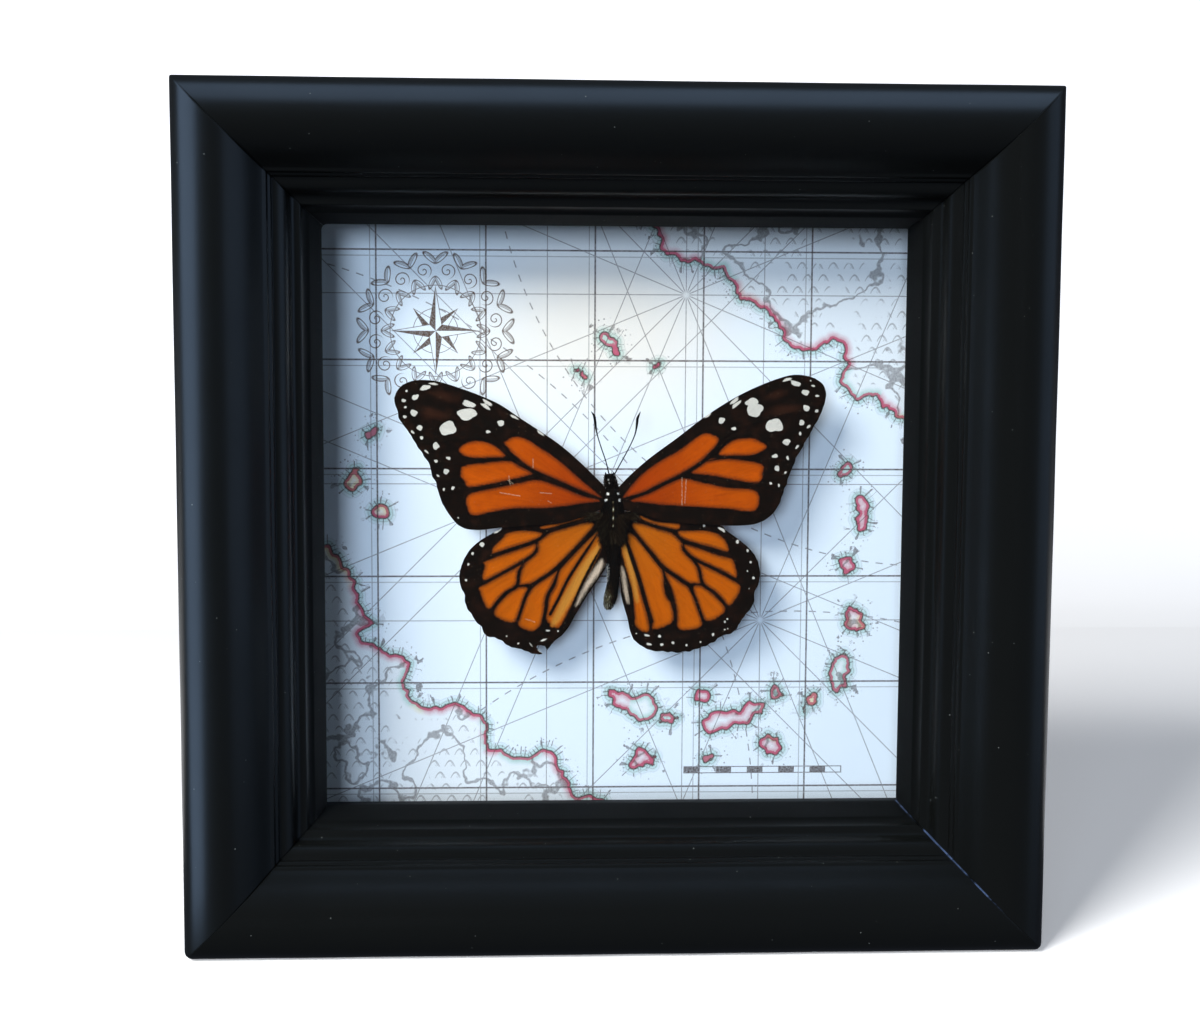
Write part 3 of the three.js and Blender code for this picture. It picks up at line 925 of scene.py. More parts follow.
def shore_lines():
    """Closed shores: a smooth line through a few places, pushed sideways by waves of falling length."""
    shores = []
    loops = [flow(land, LAND_POINTS, closed=True) for land in (NORTH_LAND, SOUTH_LAND)]
    angle = np.linspace(0, TURN, ISLAND_POINTS, endpoint=False)
    for x, z, radius, stretch, degrees in ISLANDS:
        oval = np.stack([radius * stretch * np.cos(angle), radius * np.sin(angle)], axis=1)
        c, s = math.cos(math.radians(degrees)), math.sin(math.radians(degrees))
        turned = oval @ np.array(((c, s), (-s, c))) + (x, z)
        count = int(TURN * radius * stretch / SHORE_STEP) + ISLAND_LEAST
        loops.append(flow(turned, count, closed=True))
    for number, loop in enumerate(loops):
        heading = unit(np.roll(loop[:-1], -1, axis=0) - np.roll(loop[:-1], 1, axis=0))
        size = np.ptp(loop, axis=0).min()
        push = sum(
            min(height, SHORE_SHARE * size) * ripple(loop[:-1], wave, SHORE_SEED + number)
            for wave, height in SHORE_WAVES
        )
        pushed = loop[:-1] + push[:, None] * heading[:, ::-1] * (-1, 1)
        shores.append(np.concatenate([pushed, pushed[:1]]))
    return shores


def chart_shape(low, high):
    """The sheet: a fine grid of points, gently uneven, with a rim and one face behind.

    Each point keeps how far it lies inside the nearest shore and how far along that shore."""
    ticks = np.linspace(0, 1, CHART_STEPS + 1)
    x, z = np.meshgrid(low[0] + (high[0] - low[0]) * ticks, low[2] + (high[2] - low[2]) * ticks)
    flat = np.stack([x, z - HALF_SIDE], axis=-1).reshape(-1, 2)
    y = low[1] + CHART_UNEVEN * (1 + ripple(flat, CHART_WAVE, CHART_SEED))
    front = np.stack([x.ravel(), y, z.ravel()], axis=1)
    number = np.arange(len(flat)).reshape(x.shape)
    rim = np.concatenate([number[0, :-1], number[:-1, -1], number[-1, :0:-1], number[:0:-1, 0]])
    back = front[rim] * (1, 0, 1) + (0, high[1], 0)
    behind = len(front) + np.arange(len(rim))
    sides = np.stack([np.roll(rim, -1), rim, behind, np.roll(behind, -1)], axis=1)
    faces = [grid_faces(*x.shape), sides, behind[None, ::-1]]
    depth = np.full(len(flat), OPEN_SEA)
    along = np.zeros(len(flat))
    for shore in shore_lines():
        inside, travelled = inside_distance(flat, shore)
        along = np.where(np.abs(inside) < np.abs(depth), travelled, along)
        depth = np.maximum(depth, inside)
    fill = np.zeros(len(rim))
    values = {"shore": np.append(depth, fill), "along": np.append(along, fill)}
    return Shape(np.concatenate([front, back]), faces, **values).outward()


ROSE = (-38.0, 39.0)
ROSE_POINTS = 8
ROSE_TIP = 9.2
ROSE_VALLEY = 3.0
WREATH_RADIUS = 13.0
WREATH_CELLS = 16
SCROLL_RADIUS = 1.75
SCROLL_PITCH = 1.1
LEAF = (1.55, 0.55)
LEAF_PLACE = (0.95, 2.7)
LEAF_TURN = math.radians(52)
HUBS = ((-14.0, 6.0), (33.0, -24.0), (16.0, 47.0))
RAYS = 16
HILL_CELL = (3.4, 2.6)
HILL_TALL = 1.3
HILL_WIDE = 1.1
BAR_PLACE = (34.0, -57.5)
BAR_HALF = (17.5, 0.7)
BAR_STEP = 7.0
TRACKS = (((-96.0, -70.0), 128.0), ((70.0, 84.0), 96.0), ((40.0, -140.0), 118.0))


def polar(right, up, centre):
    """Distance and angle of a place about a centre."""
    x, z = right - centre[0], up - centre[1]
    return (x * x + z * z).math("SQRT"), z.math("ARCTAN2", x)


def star_edge(reach, turn, points, tip, valley):
    """How far a place lies inside a star: its distance from the straight edge between a tip and a valley."""
    folded = turn.fold(math.pi / points)
    turned = math.pi / points
    across = Vector((valley * math.cos(turned) - tip, valley * math.sin(turned))).normalized()
    along, aside = reach * folded.math("COSINE"), reach * folded.math("SINE")
    return (along - tip) * across.y * -1 + aside * across.x


def rose_ink(reach, turn):
    """A compass rose: two split stars, one over the other, and two rings."""
    split = (turn * ROSE_POINTS).math("SINE").ramp(-0.05, 0.05)
    main = star_edge(reach, turn, ROSE_POINTS // 2, ROSE_TIP, ROSE_VALLEY * 0.62)
    split_main = (turn * (ROSE_POINTS // 2)).math("SINE").ramp(-0.05, 0.05)
    half = star_edge(reach, turn, ROSE_POINTS, ROSE_TIP * 0.72, ROSE_VALLEY)
    in_main = main.ramp(-0.03, 0.03)
    shade = in_main * split_main + (1 - in_main) * half.ramp(-0.03, 0.03) * split
    rings = (reach - ROSE_TIP * 0.52).stroke(0.07).at_least((reach - ROSE_TIP * 1.06).stroke(0.08))
    outline = main.stroke(0.07).at_least(half.stroke(0.06) * (1 - in_main))
    return shade.at_least(outline).at_least(rings * (1 - in_main))


def wreath_ink(reach, turn):
    """A wreath: one volute in each of its cells and a pair of leaves at each joint."""
    cell = TURN / WREATH_CELLS
    local = ((turn / cell).math("FRACT") - 0.5) * (cell * WREATH_RADIUS)
    out = reach - WREATH_RADIUS
    whirl = (local * local + out * out).math("SQRT")
    spiral = (whirl - out.math("ARCTAN2", local) * (SCROLL_PITCH / TURN)).fold(SCROLL_PITCH / 2)
    scroll = spiral.stroke(0.11) * whirl.ramp(SCROLL_RADIUS + 0.05, SCROLL_RADIUS - 0.05)
    aside = cell * WREATH_RADIUS / 2 - abs(local) - LEAF_PLACE[0]
    high = abs(out) - LEAF_PLACE[1]
    c, s = math.cos(LEAF_TURN), math.sin(LEAF_TURN)
    long, wide = aside * c + high * s, high * c - aside * s
    oval = ((long / LEAF[0]) * (long / LEAF[0]) + (wide / LEAF[1]) * (wide / LEAF[1])).math("SQRT") - 1
    leaf = (oval * LEAF[1]).stroke(0.08).at_least(wide.stroke(0.05) * oval.ramp(0.02, -0.02))
    shade = wide.ramp(0.0, 0.3) * oval.ramp(0.02, -0.02) * 0.6
    return scroll.at_least(leaf).at_least(shade)


def ruled_ink(right, up, grid):
    """Ruled lines: a heavy and a fine line at each step of the grid, and thin rays from each hub."""
    lines = None
    for axis, shift in ((right, 5.0), (up, -8.0)):
        fine = (axis + shift).fold(grid / 2).stroke(0.1)
        heavy = (axis + shift - 1.3).fold(grid / 2).stroke(0.18)
        pair = (fine * 0.6).at_least(heavy)
        lines = pair if lines is None else lines.at_least(pair)
    for hub in HUBS:
        reach, turn = polar(right, up, hub)
        ray = (turn.fold(math.pi / RAYS).math("SINE") * reach).stroke(0.1)
        lines = lines.at_least(ray * reach.ramp(0.3, 1.2) * 0.75)
    return lines


def hill_ink(right, up):
    """Rows of small engraved hills: an arch in each cell, shaded by short strokes on one flank."""
    row = up / HILL_CELL[1]
    level = row.math("FLOOR")
    across = ((right / HILL_CELL[0] + level * 0.37).math("FRACT") - 0.5) * HILL_CELL[0]
    rise = (row.math("FRACT") - 0.3) * HILL_CELL[1]
    ridge = HILL_TALL - (across * across) * (HILL_TALL / HILL_WIDE**2) - rise
    arch = ridge.stroke(0.2) * rise.ramp(-0.05, 0.05)
    flank = (across + rise * 0.6).fold(0.22).stroke(0.08) * ridge.ramp(0.0, 0.1) * across.ramp(0.1, 0.3)
    return arch.at_least(flank * rise.ramp(0.0, 0.2))


def bar_ink(right, up):
    """A scale bar: long boxes filled turn about, in a thin border."""
    along, across = right - BAR_PLACE[0], up - BAR_PLACE[1]
    past_end, past_side = abs(along) - BAR_HALF[0], abs(across) - BAR_HALF[1]
    within = past_end.ramp(0.05, -0.05) * past_side.ramp(0.05, -0.05)
    filled = (along / BAR_STEP).math("FRACT").ramp(0.48, 0.52)
    ends = past_end.stroke(0.12) * past_side.ramp(0.2, 0.0)
    sides = past_side.stroke(0.1) * past_end.ramp(0.2, 0.0)
    return ends.at_least(sides).at_least(within * filled)


def track_ink(right, up):
    """Dashed tracks: parts of wide circles broken into dashes."""
    tracks = None
    for centre, radius in TRACKS:
        reach, turn = polar(right, up, centre)
        dash = (turn * radius).fold(1.6).ramp(0.7, 0.9)
        track = (reach - radius).stroke(0.13) * dash
        tracks = track if tracks is None else tracks.at_least(track)
    return tracks


def chart_print(look):
    """Old chart print: paper creamier above its middle, ruled lines, washed shores with hatching, hills and
    an ornament.
    """
    art = Finish("chart_print")
    place = art.place()
    right, _, height = art.axes(place)
    up = height - HALF_SIDE
    shore, along = art.value("shore"), art.value("along")
    drift = art.noise(place, 0.09, detail=3)
    grain = art.noise(place, 1.6, detail=4, roughness=0.7)
    wear = art.noise(place, 2.6, detail=2)
    land, sea = shore.ramp(-0.05, 0.1), shore.ramp(0.1, -0.05)
    # A cream patch, strongest above the sheet's middle and fading outwards.
    tone, _ = polar(right, up * 1.6, (-2.0, 62.0))
    base = art.mix(tone.ramp(46.0, 8.0) * 0.75, look.paper, look.cream)
    base = art.mix((grain - 0.5) * 0.3 + 0.06, base, toned(look.paper, 0.7))
    hue = art.mix(drift.ramp(0.5, 0.56), look.red, look.green)
    hue = art.mix(art.noise(place, 0.05).ramp(0.56, 0.62), hue, look.yellow)
    base = art.mix(land * 0.2, base, look.cream)
    base = art.mix(shore.ramp(2.2, 0.0) * land * (0.4 + grain * 0.8), base, hue)
    base = art.mix(shore.ramp(-1.8, -0.1) * sea * (0.2 + grain * 0.6), base, look.green)
    base = art.mix(((shore - 0.35) + (wear - 0.5) * 0.5).stroke(0.3) * 0.85, base, look.red)
    reach_out = art.noise(place, 0.5).ramp(0.3, 0.7) * 3.0 + 0.1
    hatch = along.fold(0.45).stroke(0.1) * (shore + reach_out).ramp(0.0, 0.2) * sea
    water = shore.fold(0.35).stroke(0.06) * (shore + 2.2).ramp(0.0, 1.5) * sea
    stipple = art.cells(place, 1.0).ramp(0.24, 0.14) * (shore + 3.6).ramp(0.0, 0.9) * sea
    stipple = stipple * drift.ramp(0.4, 0.48)
    river = abs(art.noise(place, 0.06, detail=4) - 0.5).ramp(0.016, 0.006) * shore.ramp(0.2, 0.6)
    hills = hill_ink(right, up) * shore.ramp(2.2, 2.8) * art.noise(place, 0.16).ramp(0.44, 0.5)
    ink = ruled_ink(right, up, look.grid / MM)
    layers = (
        (shore.stroke(0.16), 1.0), (hatch, 0.85), (water, 0.5), (stipple, 0.7), (river, 0.7), (hills, 0.55),
        (bar_ink(right, up), 1.0), (track_ink(right, up) * sea, 0.8),
    )
    for layer, strength in layers:
        ink = ink.at_least(layer * strength)
    base = art.mix(ink * (0.82 + (wear - 0.5) * 0.9), base, look.ink)
    reach, turn = polar(right, up, ROSE)
    ornament = rose_ink(reach, turn).at_least(wreath_ink(reach, turn))
    base = art.mix(ornament * (0.9 + (wear - 0.5) * 0.7), base, look.sepia)
    return art.surface(
        Base_Color=base, Roughness=0.72 + grain * 0.15, Normal=art.bump(grain, 0.02), Specular_IOR_Level=0.25
    )


class SPECIMEN_OT_chart(bpy.types.Operator):
    """Lay the printed chart against the backing board"""

    bl_idname = "specimen.chart"
    bl_label = "Printed chart"

    def execute(self, context):
        shape = chart_shape(*node_box("chart_sheet"))
        finish = chart_print(context.scene.specimen.chart)
        add_piece("printed_chart", shape, finish, "chart_paper", "chart_sheet")
        return {"FINISHED"}


# Wings: outlines, bright cells, spots and veins as places right of and above the specimen's middle


class Wing(NamedTuple):
    """One wing's drawing. Spots are place, two radii and an angle; veins are half width and route."""

    costa: tuple
    outer: tuple
    inner: tuple
    cells: tuple
    spots: tuple
    veins: tuple
    ochre: tuple = ()
    pale: tuple = ()
    scuffs: tuple = ()
    browns: tuple = ()
    notch: tuple = ()


LEFT_FOREWING = Wing(
    costa=(
        (-1.3, 4.5), (-2.2, 5.6), (-6.9, 10.2), (-11.1, 13.8), (-15.3, 16.7), (-19.6, 19.5), (-23.8, 22.3),
        (-28.0, 24.2), (-32.1, 25.7), (-36.3, 27.0), (-39.3, 27.4), (-42.1, 27.2), (-44.1, 26.4),
    ),
    outer=(
        (-44.1, 26.4), (-45.2, 25.2), (-45.8, 23.6), (-45.7, 22.4), (-45.2, 21.0), (-44.8, 19.3),
        (-43.8, 17.6), (-42.5, 15.9), (-41.4, 14.1), (-40.2, 12.2), (-38.7, 9.7), (-38.2, 7.9), (-37.3, 5.7),
        (-36.4, 2.8), (-35.5, 0.7), (-34.1, -1.5), (-32.6, -3.2),
    ),
    inner=(
        (-1.3, 0.6), (-3.3, -0.3), (-6.8, -1.7), (-11.2, -2.9), (-15.3, -3.1), (-24.0, -3.8), (-28.0, -4.2),
        (-30.8, -4.0), (-32.6, -3.2),
    ),
    cells=(
        ((-22.9, 14.4), (-20.6, 15.5), (-18.1, 14.9), (-15.3, 13.2), (-11.1, 10.3), (-6.9, 6.6), (-2.2, 2.5),
         (-6.8, 4.3), (-11.1, 6.2), (-15.3, 8.0), (-17.8, 9.3), (-20.6, 11.6), (-22.4, 13.5)),
        ((-32.4, 12.8), (-31.1, 14.1), (-29.5, 14.6), (-27.0, 14.5), (-24.9, 13.6), (-22.7, 11.5),
         (-25.2, 11.2), (-28.3, 11.1), (-30.5, 11.3), (-31.8, 11.9)),
        ((-32.0, 8.5), (-31.4, 9.3), (-27.7, 10.0), (-21.8, 10.4), (-19.7, 9.4), (-16.8, 7.9), (-19.7, 6.9),
         (-25.3, 5.7), (-30.2, 4.9), (-31.2, 6.0), (-32.0, 7.3)),
        ((-30.9, 2.5), (-29.6, 3.7), (-25.3, 4.6), (-20.6, 5.6), (-15.9, 6.4), (-11.2, 5.0), (-6.5, 3.1),
         (-2.4, 2.0), (-6.5, 1.4), (-11.2, 0.7), (-15.9, 0.4), (-20.6, 0.4), (-25.3, -0.3), (-28.3, -1.0),
         (-30.0, -0.9), (-30.6, 0.4)),
    ),
    spots=(
        (-34.7, 17.3, 1.69, 1.48, 0), (-30.7, 20.3, 1.91, 1.27, 0), (-30.3, 22.4, 1.38, 0.64, -20),
        (-26.4, 22.7, 1.17, 0.36, -35), (-26.8, 21.9, 1.17, 0.36, -35), (-20.8, 19.7, 0.95, 0.25, -30),
        (-23.6, 18.4, 0.74, 0.59, 0), (-26.3, 16.6, 0.47, 0.34, 0), (-15.2, 16.3, 0.95, 0.21, -38),
        (-39.4, 25.8, 1.06, 0.53, 15), (-37.7, 26.6, 0.89, 0.25, -8), (-43.3, 25.1, 0.25, 0.25, 0),
        (-41.5, 23.8, 0.72, 0.55, 25), (-43.9, 23.1, 0.47, 0.34, 0), (-43.6, 21.7, 0.32, 0.23, 0),
        (-41.8, 20.5, 0.72, 0.68, 0), (-43.7, 19.7, 0.42, 0.32, 0), (-40.6, 17.4, 0.57, 0.59, 0),
        (-42.1, 16.5, 0.42, 0.25, -45), (-40.2, 15.3, 0.36, 0.36, 0), (-37.2, 13.6, 0.68, 0.72, 0),
        (-39.2, 12.4, 0.51, 0.21, -40), (-37.2, 10.4, 0.36, 0.36, 0), (-34.6, 11.0, 0.47, 0.34, -25),
        (-35.1, 8.2, 0.55, 0.61, 0), (-36.8, 7.3, 0.42, 0.21, -45), (-35.6, 4.4, 0.23, 0.32, 0),
        (-33.7, 4.7, 0.34, 0.42, -40), (-32.6, -1.6, 0.17, 0.17, 0),
    ),
    veins=(
        (0.3, ((-1.3, 2.1), (-6.6, 3.7), (-11.1, 5.6), (-15.5, 7.4), (-18.3, 9.1), (-21.7, 11.3),
               (-23.1, 13.6))),
        (0.2, ((-16.2, 7.1), (-25.3, 5.1), (-36.4, 3.7))),
        (0.2, ((-21.7, 11.0), (-30.1, 10.3), (-38.5, 9.4))),
        (0.2, ((-23.1, 13.6), (-26.3, 15.1), (-31.1, 15.2), (-41.0, 13.8))),
        (0.2, ((-22.7, 14.9), (-30.1, 18.2), (-44.7, 21.5))),
    ),
    scuffs=(
        ((-16.8, 10.9), (-16.8, 8.9)), ((-22.1, 6.4), (-21.0, 5.6)), ((-23.8, 3.7), (-19.6, 3.0)),
        ((-13.6, 1.9), (-12.8, 1.5)), ((-15.4, 3.7), (-12.9, 3.5)), ((-21.9, 7.2), (-21.6, 5.4)),
    ),
    browns=((-37.5, 20.3, 3.0, 1.3, -12), (-35.8, 24.1, 3.2, 0.9, -14)),
)

RIGHT_FOREWING = Wing(
    costa=(
        (0.6, 4.3), (1.5, 5.0), (3.8, 7.4), (8.0, 11.1), (14.3, 15.8), (18.5, 19.1), (22.7, 22.0),
        (26.9, 24.5), (31.1, 26.5), (35.3, 28.1), (38.1, 28.8), (40.6, 28.7), (42.8, 28.1),
    ),
    outer=(
        (42.8, 28.1), (44.4, 26.9), (45.2, 25.0), (44.9, 23.0), (44.2, 20.8), (43.3, 18.9), (42.1, 16.8),
        (40.8, 14.3), (39.3, 11.8), (38.2, 9.2), (37.4, 7.0), (36.6, 4.4), (35.6, 1.5), (34.3, -0.6),
        (32.4, -2.2),
    ),
    inner=(
        (1.0, 0.2), (3.2, -0.2), (7.0, -1.0), (10.2, -2.1), (14.5, -2.7), (18.6, -3.0), (22.8, -3.2),
        (26.3, -3.3), (30.1, -3.0), (32.4, -2.2),
    ),
    cells=(
        ((2.2, 2.4), (5.9, 7.2), (10.1, 10.4), (14.3, 12.8), (17.8, 15.5), (20.1, 16.4), (22.6, 15.2),
         (22.3, 14.1), (20.8, 12.5), (18.6, 10.4), (14.4, 7.7), (10.1, 5.6), (5.9, 3.4)),
        ((22.6, 11.9), (24.5, 14.2), (26.7, 15.2), (29.3, 15.4), (31.2, 14.8), (32.7, 13.6), (31.2, 12.4),
         (29.3, 11.8), (26.1, 11.7)),
        ((16.7, 8.1), (19.8, 10.4), (21.7, 11.0), (26.1, 10.9), (31.6, 9.8), (31.9, 7.9), (31.0, 5.9),
         (26.2, 6.5), (21.4, 7.4)),
        ((3.8, 2.0), (8.0, 4.0), (11.8, 5.8), (14.8, 6.8), (19.8, 5.8), (24.6, 4.8), (29.4, 4.5),
         (31.0, 3.7), (31.3, 2.1), (30.7, 0.2), (28.8, -0.2), (24.7, 0.3), (19.9, 0.6), (14.4, 0.9),
         (10.2, 1.2), (5.9, 1.7)),
    ),
    spots=(
        (25.8, 23.3, 1.17, 0.36, 38), (26.2, 22.5, 1.17, 0.36, 38), (29.5, 23.0, 1.38, 0.85, 15),
        (30.1, 21.4, 1.8, 1.38, 0), (34.3, 18.1, 1.76, 1.44, 0), (23.1, 19.1, 0.68, 0.64, 30),
        (25.7, 17.4, 0.51, 0.36, 0), (20.2, 20.2, 0.89, 0.28, 38), (14.8, 16.5, 0.85, 0.19, 37),
        (36.9, 27.8, 1.02, 0.3, 15), (38.7, 27.0, 1.06, 0.53, -20), (40.8, 25.1, 0.76, 0.61, -10),
        (42.4, 26.5, 0.42, 0.21, -15), (41.9, 27.6, 0.19, 0.19, 0), (43.3, 24.4, 0.44, 0.25, 0),
        (41.0, 21.8, 0.72, 0.61, -20), (43.2, 21.2, 0.4, 0.3, 40), (40.1, 18.7, 0.57, 0.57, 0),
        (41.6, 17.9, 0.47, 0.28, 40), (39.8, 16.4, 0.3, 0.36, 0), (36.9, 14.6, 0.76, 0.7, 0),
        (39.2, 13.6, 0.53, 0.25, 45), (34.5, 11.6, 0.66, 0.38, 15), (37.2, 11.2, 0.25, 0.47, 15),
        (35.0, 9.0, 0.53, 0.61, 0), (36.8, 8.1, 0.42, 0.21, 50), (33.7, 5.8, 0.3, 0.3, 0),
        (35.4, 5.4, 0.21, 0.36, 0),
    ),
    veins=(
        (0.3, ((1.2, 2.1), (7.0, 3.6), (11.2, 5.7), (15.2, 7.6), (19.2, 10.3), (22.0, 13.3), (23.0, 15.0))),
        (0.2, ((15.7, 7.3), (26.3, 5.6), (37.4, 5.3))),
        (0.2, ((19.9, 10.5), (26.0, 11.3), (38.8, 10.4))),
        (0.2, ((22.6, 13.5), (24.9, 15.3), (29.1, 16.2), (40.4, 14.0))),
        (0.2, ((22.6, 15.0), (29.1, 18.4), (44.3, 22.7))),
    ),
    scuffs=(((14.8, 6.9), (14.9, 1.1)), ((15.7, 6.5), (15.5, 1.5))),
    browns=((36.5, 21.5, 3.2, 1.1, 8), (34.5, 24.6, 2.6, 0.8, 20)),
)

LEFT_HINDWING = Wing(
    costa=(
        (-1.6, -0.8), (-5.9, -0.6), (-11.1, -0.3), (-16.4, -1.1), (-21.2, -2.6), (-23.8, -4.1), (-25.6, -5.1),
        (-27.9, -6.5), (-30.0, -8.3), (-31.4, -10.4),
    ),
    outer=(
        (-31.4, -10.4), (-32.2, -12.7), (-32.4, -14.5), (-32.0, -16.6), (-31.3, -18.7), (-31.1, -20.4),
        (-30.1, -22.0), (-28.7, -24.1), (-27.5, -25.8), (-26.6, -27.0), (-25.2, -27.3), (-23.6, -28.1),
        (-21.9, -29.3), (-20.1, -29.8), (-18.1, -30.4), (-16.3, -31.0), (-14.4, -30.8), (-12.2, -28.3),
        (-10.6, -27.1),
    ),
    inner=(
        (-1.4, -6.5), (-1.0, -9.7), (-1.2, -12.3), (-2.6, -14.7), (-4.3, -17.2), (-6.1, -20.0), (-7.7, -22.6),
        (-9.1, -25.2), (-10.6, -27.1),
    ),
    cells=(
        ((-25.4, -9.0), (-25.3, -8.2), (-23.8, -6.6), (-22.1, -5.0), (-19.3, -4.5), (-16.2, -4.7),
         (-14.8, -5.2), (-16.4, -6.6), (-20.5, -7.8), (-25.2, -9.4)),
        ((-27.0, -12.0), (-26.4, -10.8), (-16.2, -7.3), (-16.4, -8.8), (-18.5, -10.6), (-26.8, -15.0)),
        ((-28.0, -17.5), (-27.5, -16.1), (-18.7, -11.4), (-19.9, -13.2), (-20.5, -16.0), (-23.3, -18.3),
         (-25.6, -20.9), (-26.8, -20.6)),
        ((-20.5, -16.8), (-17.9, -16.8), (-18.7, -19.3), (-20.3, -23.7), (-22.8, -23.8), (-25.0, -22.3),
         (-24.0, -19.9)),
        ((-16.8, -16.7), (-11.7, -13.0), (-12.6, -15.8), (-14.2, -19.3), (-14.6, -23.5), (-15.9, -25.6),
         (-17.5, -26.0), (-19.9, -24.5), (-18.7, -19.9)),
        ((-3.8, -3.1), (-6.2, -2.9), (-11.3, -4.3), (-13.4, -5.1), (-15.6, -6.8), (-15.8, -9.0),
         (-18.1, -11.0), (-19.3, -13.1), (-19.8, -15.9), (-17.6, -15.9), (-14.4, -14.0), (-11.6, -11.8),
         (-8.7, -8.9), (-6.1, -6.1)),
        ((-2.4, -4.4), (-5.6, -7.0), (-11.2, -13.0), (-12.2, -16.2), (-13.4, -18.8), (-14.0, -23.2),
         (-12.6, -24.9), (-10.8, -24.8), (-6.6, -16.9), (-2.9, -9.8), (-1.9, -6.4)),
        ((-4.7, -1.6), (-8.9, -2.6), (-13.6, -4.0), (-15.3, -3.7), (-11.1, -2.6), (-6.8, -1.6)),
    ),
    spots=(
        (-27.6, -7.4, 0.47, 0.53, 0), (-24.3, -4.5, 0.95, 0.28, 30), (-29.6, -9.3, 0.28, 0.32, 0),
        (-30.5, -11.6, 0.23, 0.3, 0), (-31.0, -15.0, 0.28, 0.28, 0), (-22.4, -27.1, 0.19, 0.19, 0),
        (-19.9, -28.7, 0.23, 0.23, 0), (-13.6, -26.0, 0.47, 0.19, 0), (-11.4, -26.1, 0.21, 0.21, 0),
        (-14.5, -28.0, 0.7, 0.21, 18), (-17.2, -29.0, 0.53, 0.15, -50), (-15.3, -30.4, 0.64, 0.17, -40),
    ),
    veins=(
        (0.28, ((-5.9, -2.5), (-11.3, -3.9), (-13.8, -4.7), (-16.2, -6.6), (-25.4, -9.7))),
        (0.28, ((-16.0, -7.0), (-16.3, -8.9), (-18.5, -10.8), (-27.2, -15.6))),
        (0.28, ((-18.5, -10.9), (-19.7, -13.0), (-20.2, -16.3), (-22.4, -17.6), (-24.2, -19.5),
                (-25.3, -21.1))),
        (0.28, ((-20.2, -16.3), (-17.5, -16.3), (-18.5, -19.0), (-20.0, -23.5))),
        (0.25, ((-3.2, -3.4), (-5.7, -6.3), (-8.3, -9.3), (-11.2, -12.3), (-14.2, -14.4), (-17.5, -16.3))),
        (0.3, ((-11.3, -12.8), (-12.2, -15.8), (-13.6, -18.4), (-14.0, -21.4), (-14.6, -23.7))),
        (0.3, ((-3.2, -5.4), (-8.9, -14.2), (-11.2, -18.8), (-13.1, -22.4))),
        (0.3, ((-2.5, -8.5), (-5.9, -15.1), (-8.6, -21.4), (-10.0, -24.6))),
    ),
    ochre=(
        (-3.2, -7.2), (-7.4, -12.6), (-13.0, -23.4), (-11.4, -24.8), (-6.6, -16.9), (-2.8, -9.8),
        (-2.2, -7.0),
    ),
    pale=(
        (-1.7, -10.6), (-2.8, -11.0), (-5.6, -15.4), (-7.8, -20.4), (-7.0, -20.4), (-4.9, -17.2),
        (-1.9, -12.8),
    ),
    scuffs=(((-18.4, -23.4), (-16.4, -24.1)),),
    notch=((-14.2, -31.6), (-16.0, -29.7), (-15.7, -29.0), (-14.2, -29.3), (-13.4, -30.4)),
)

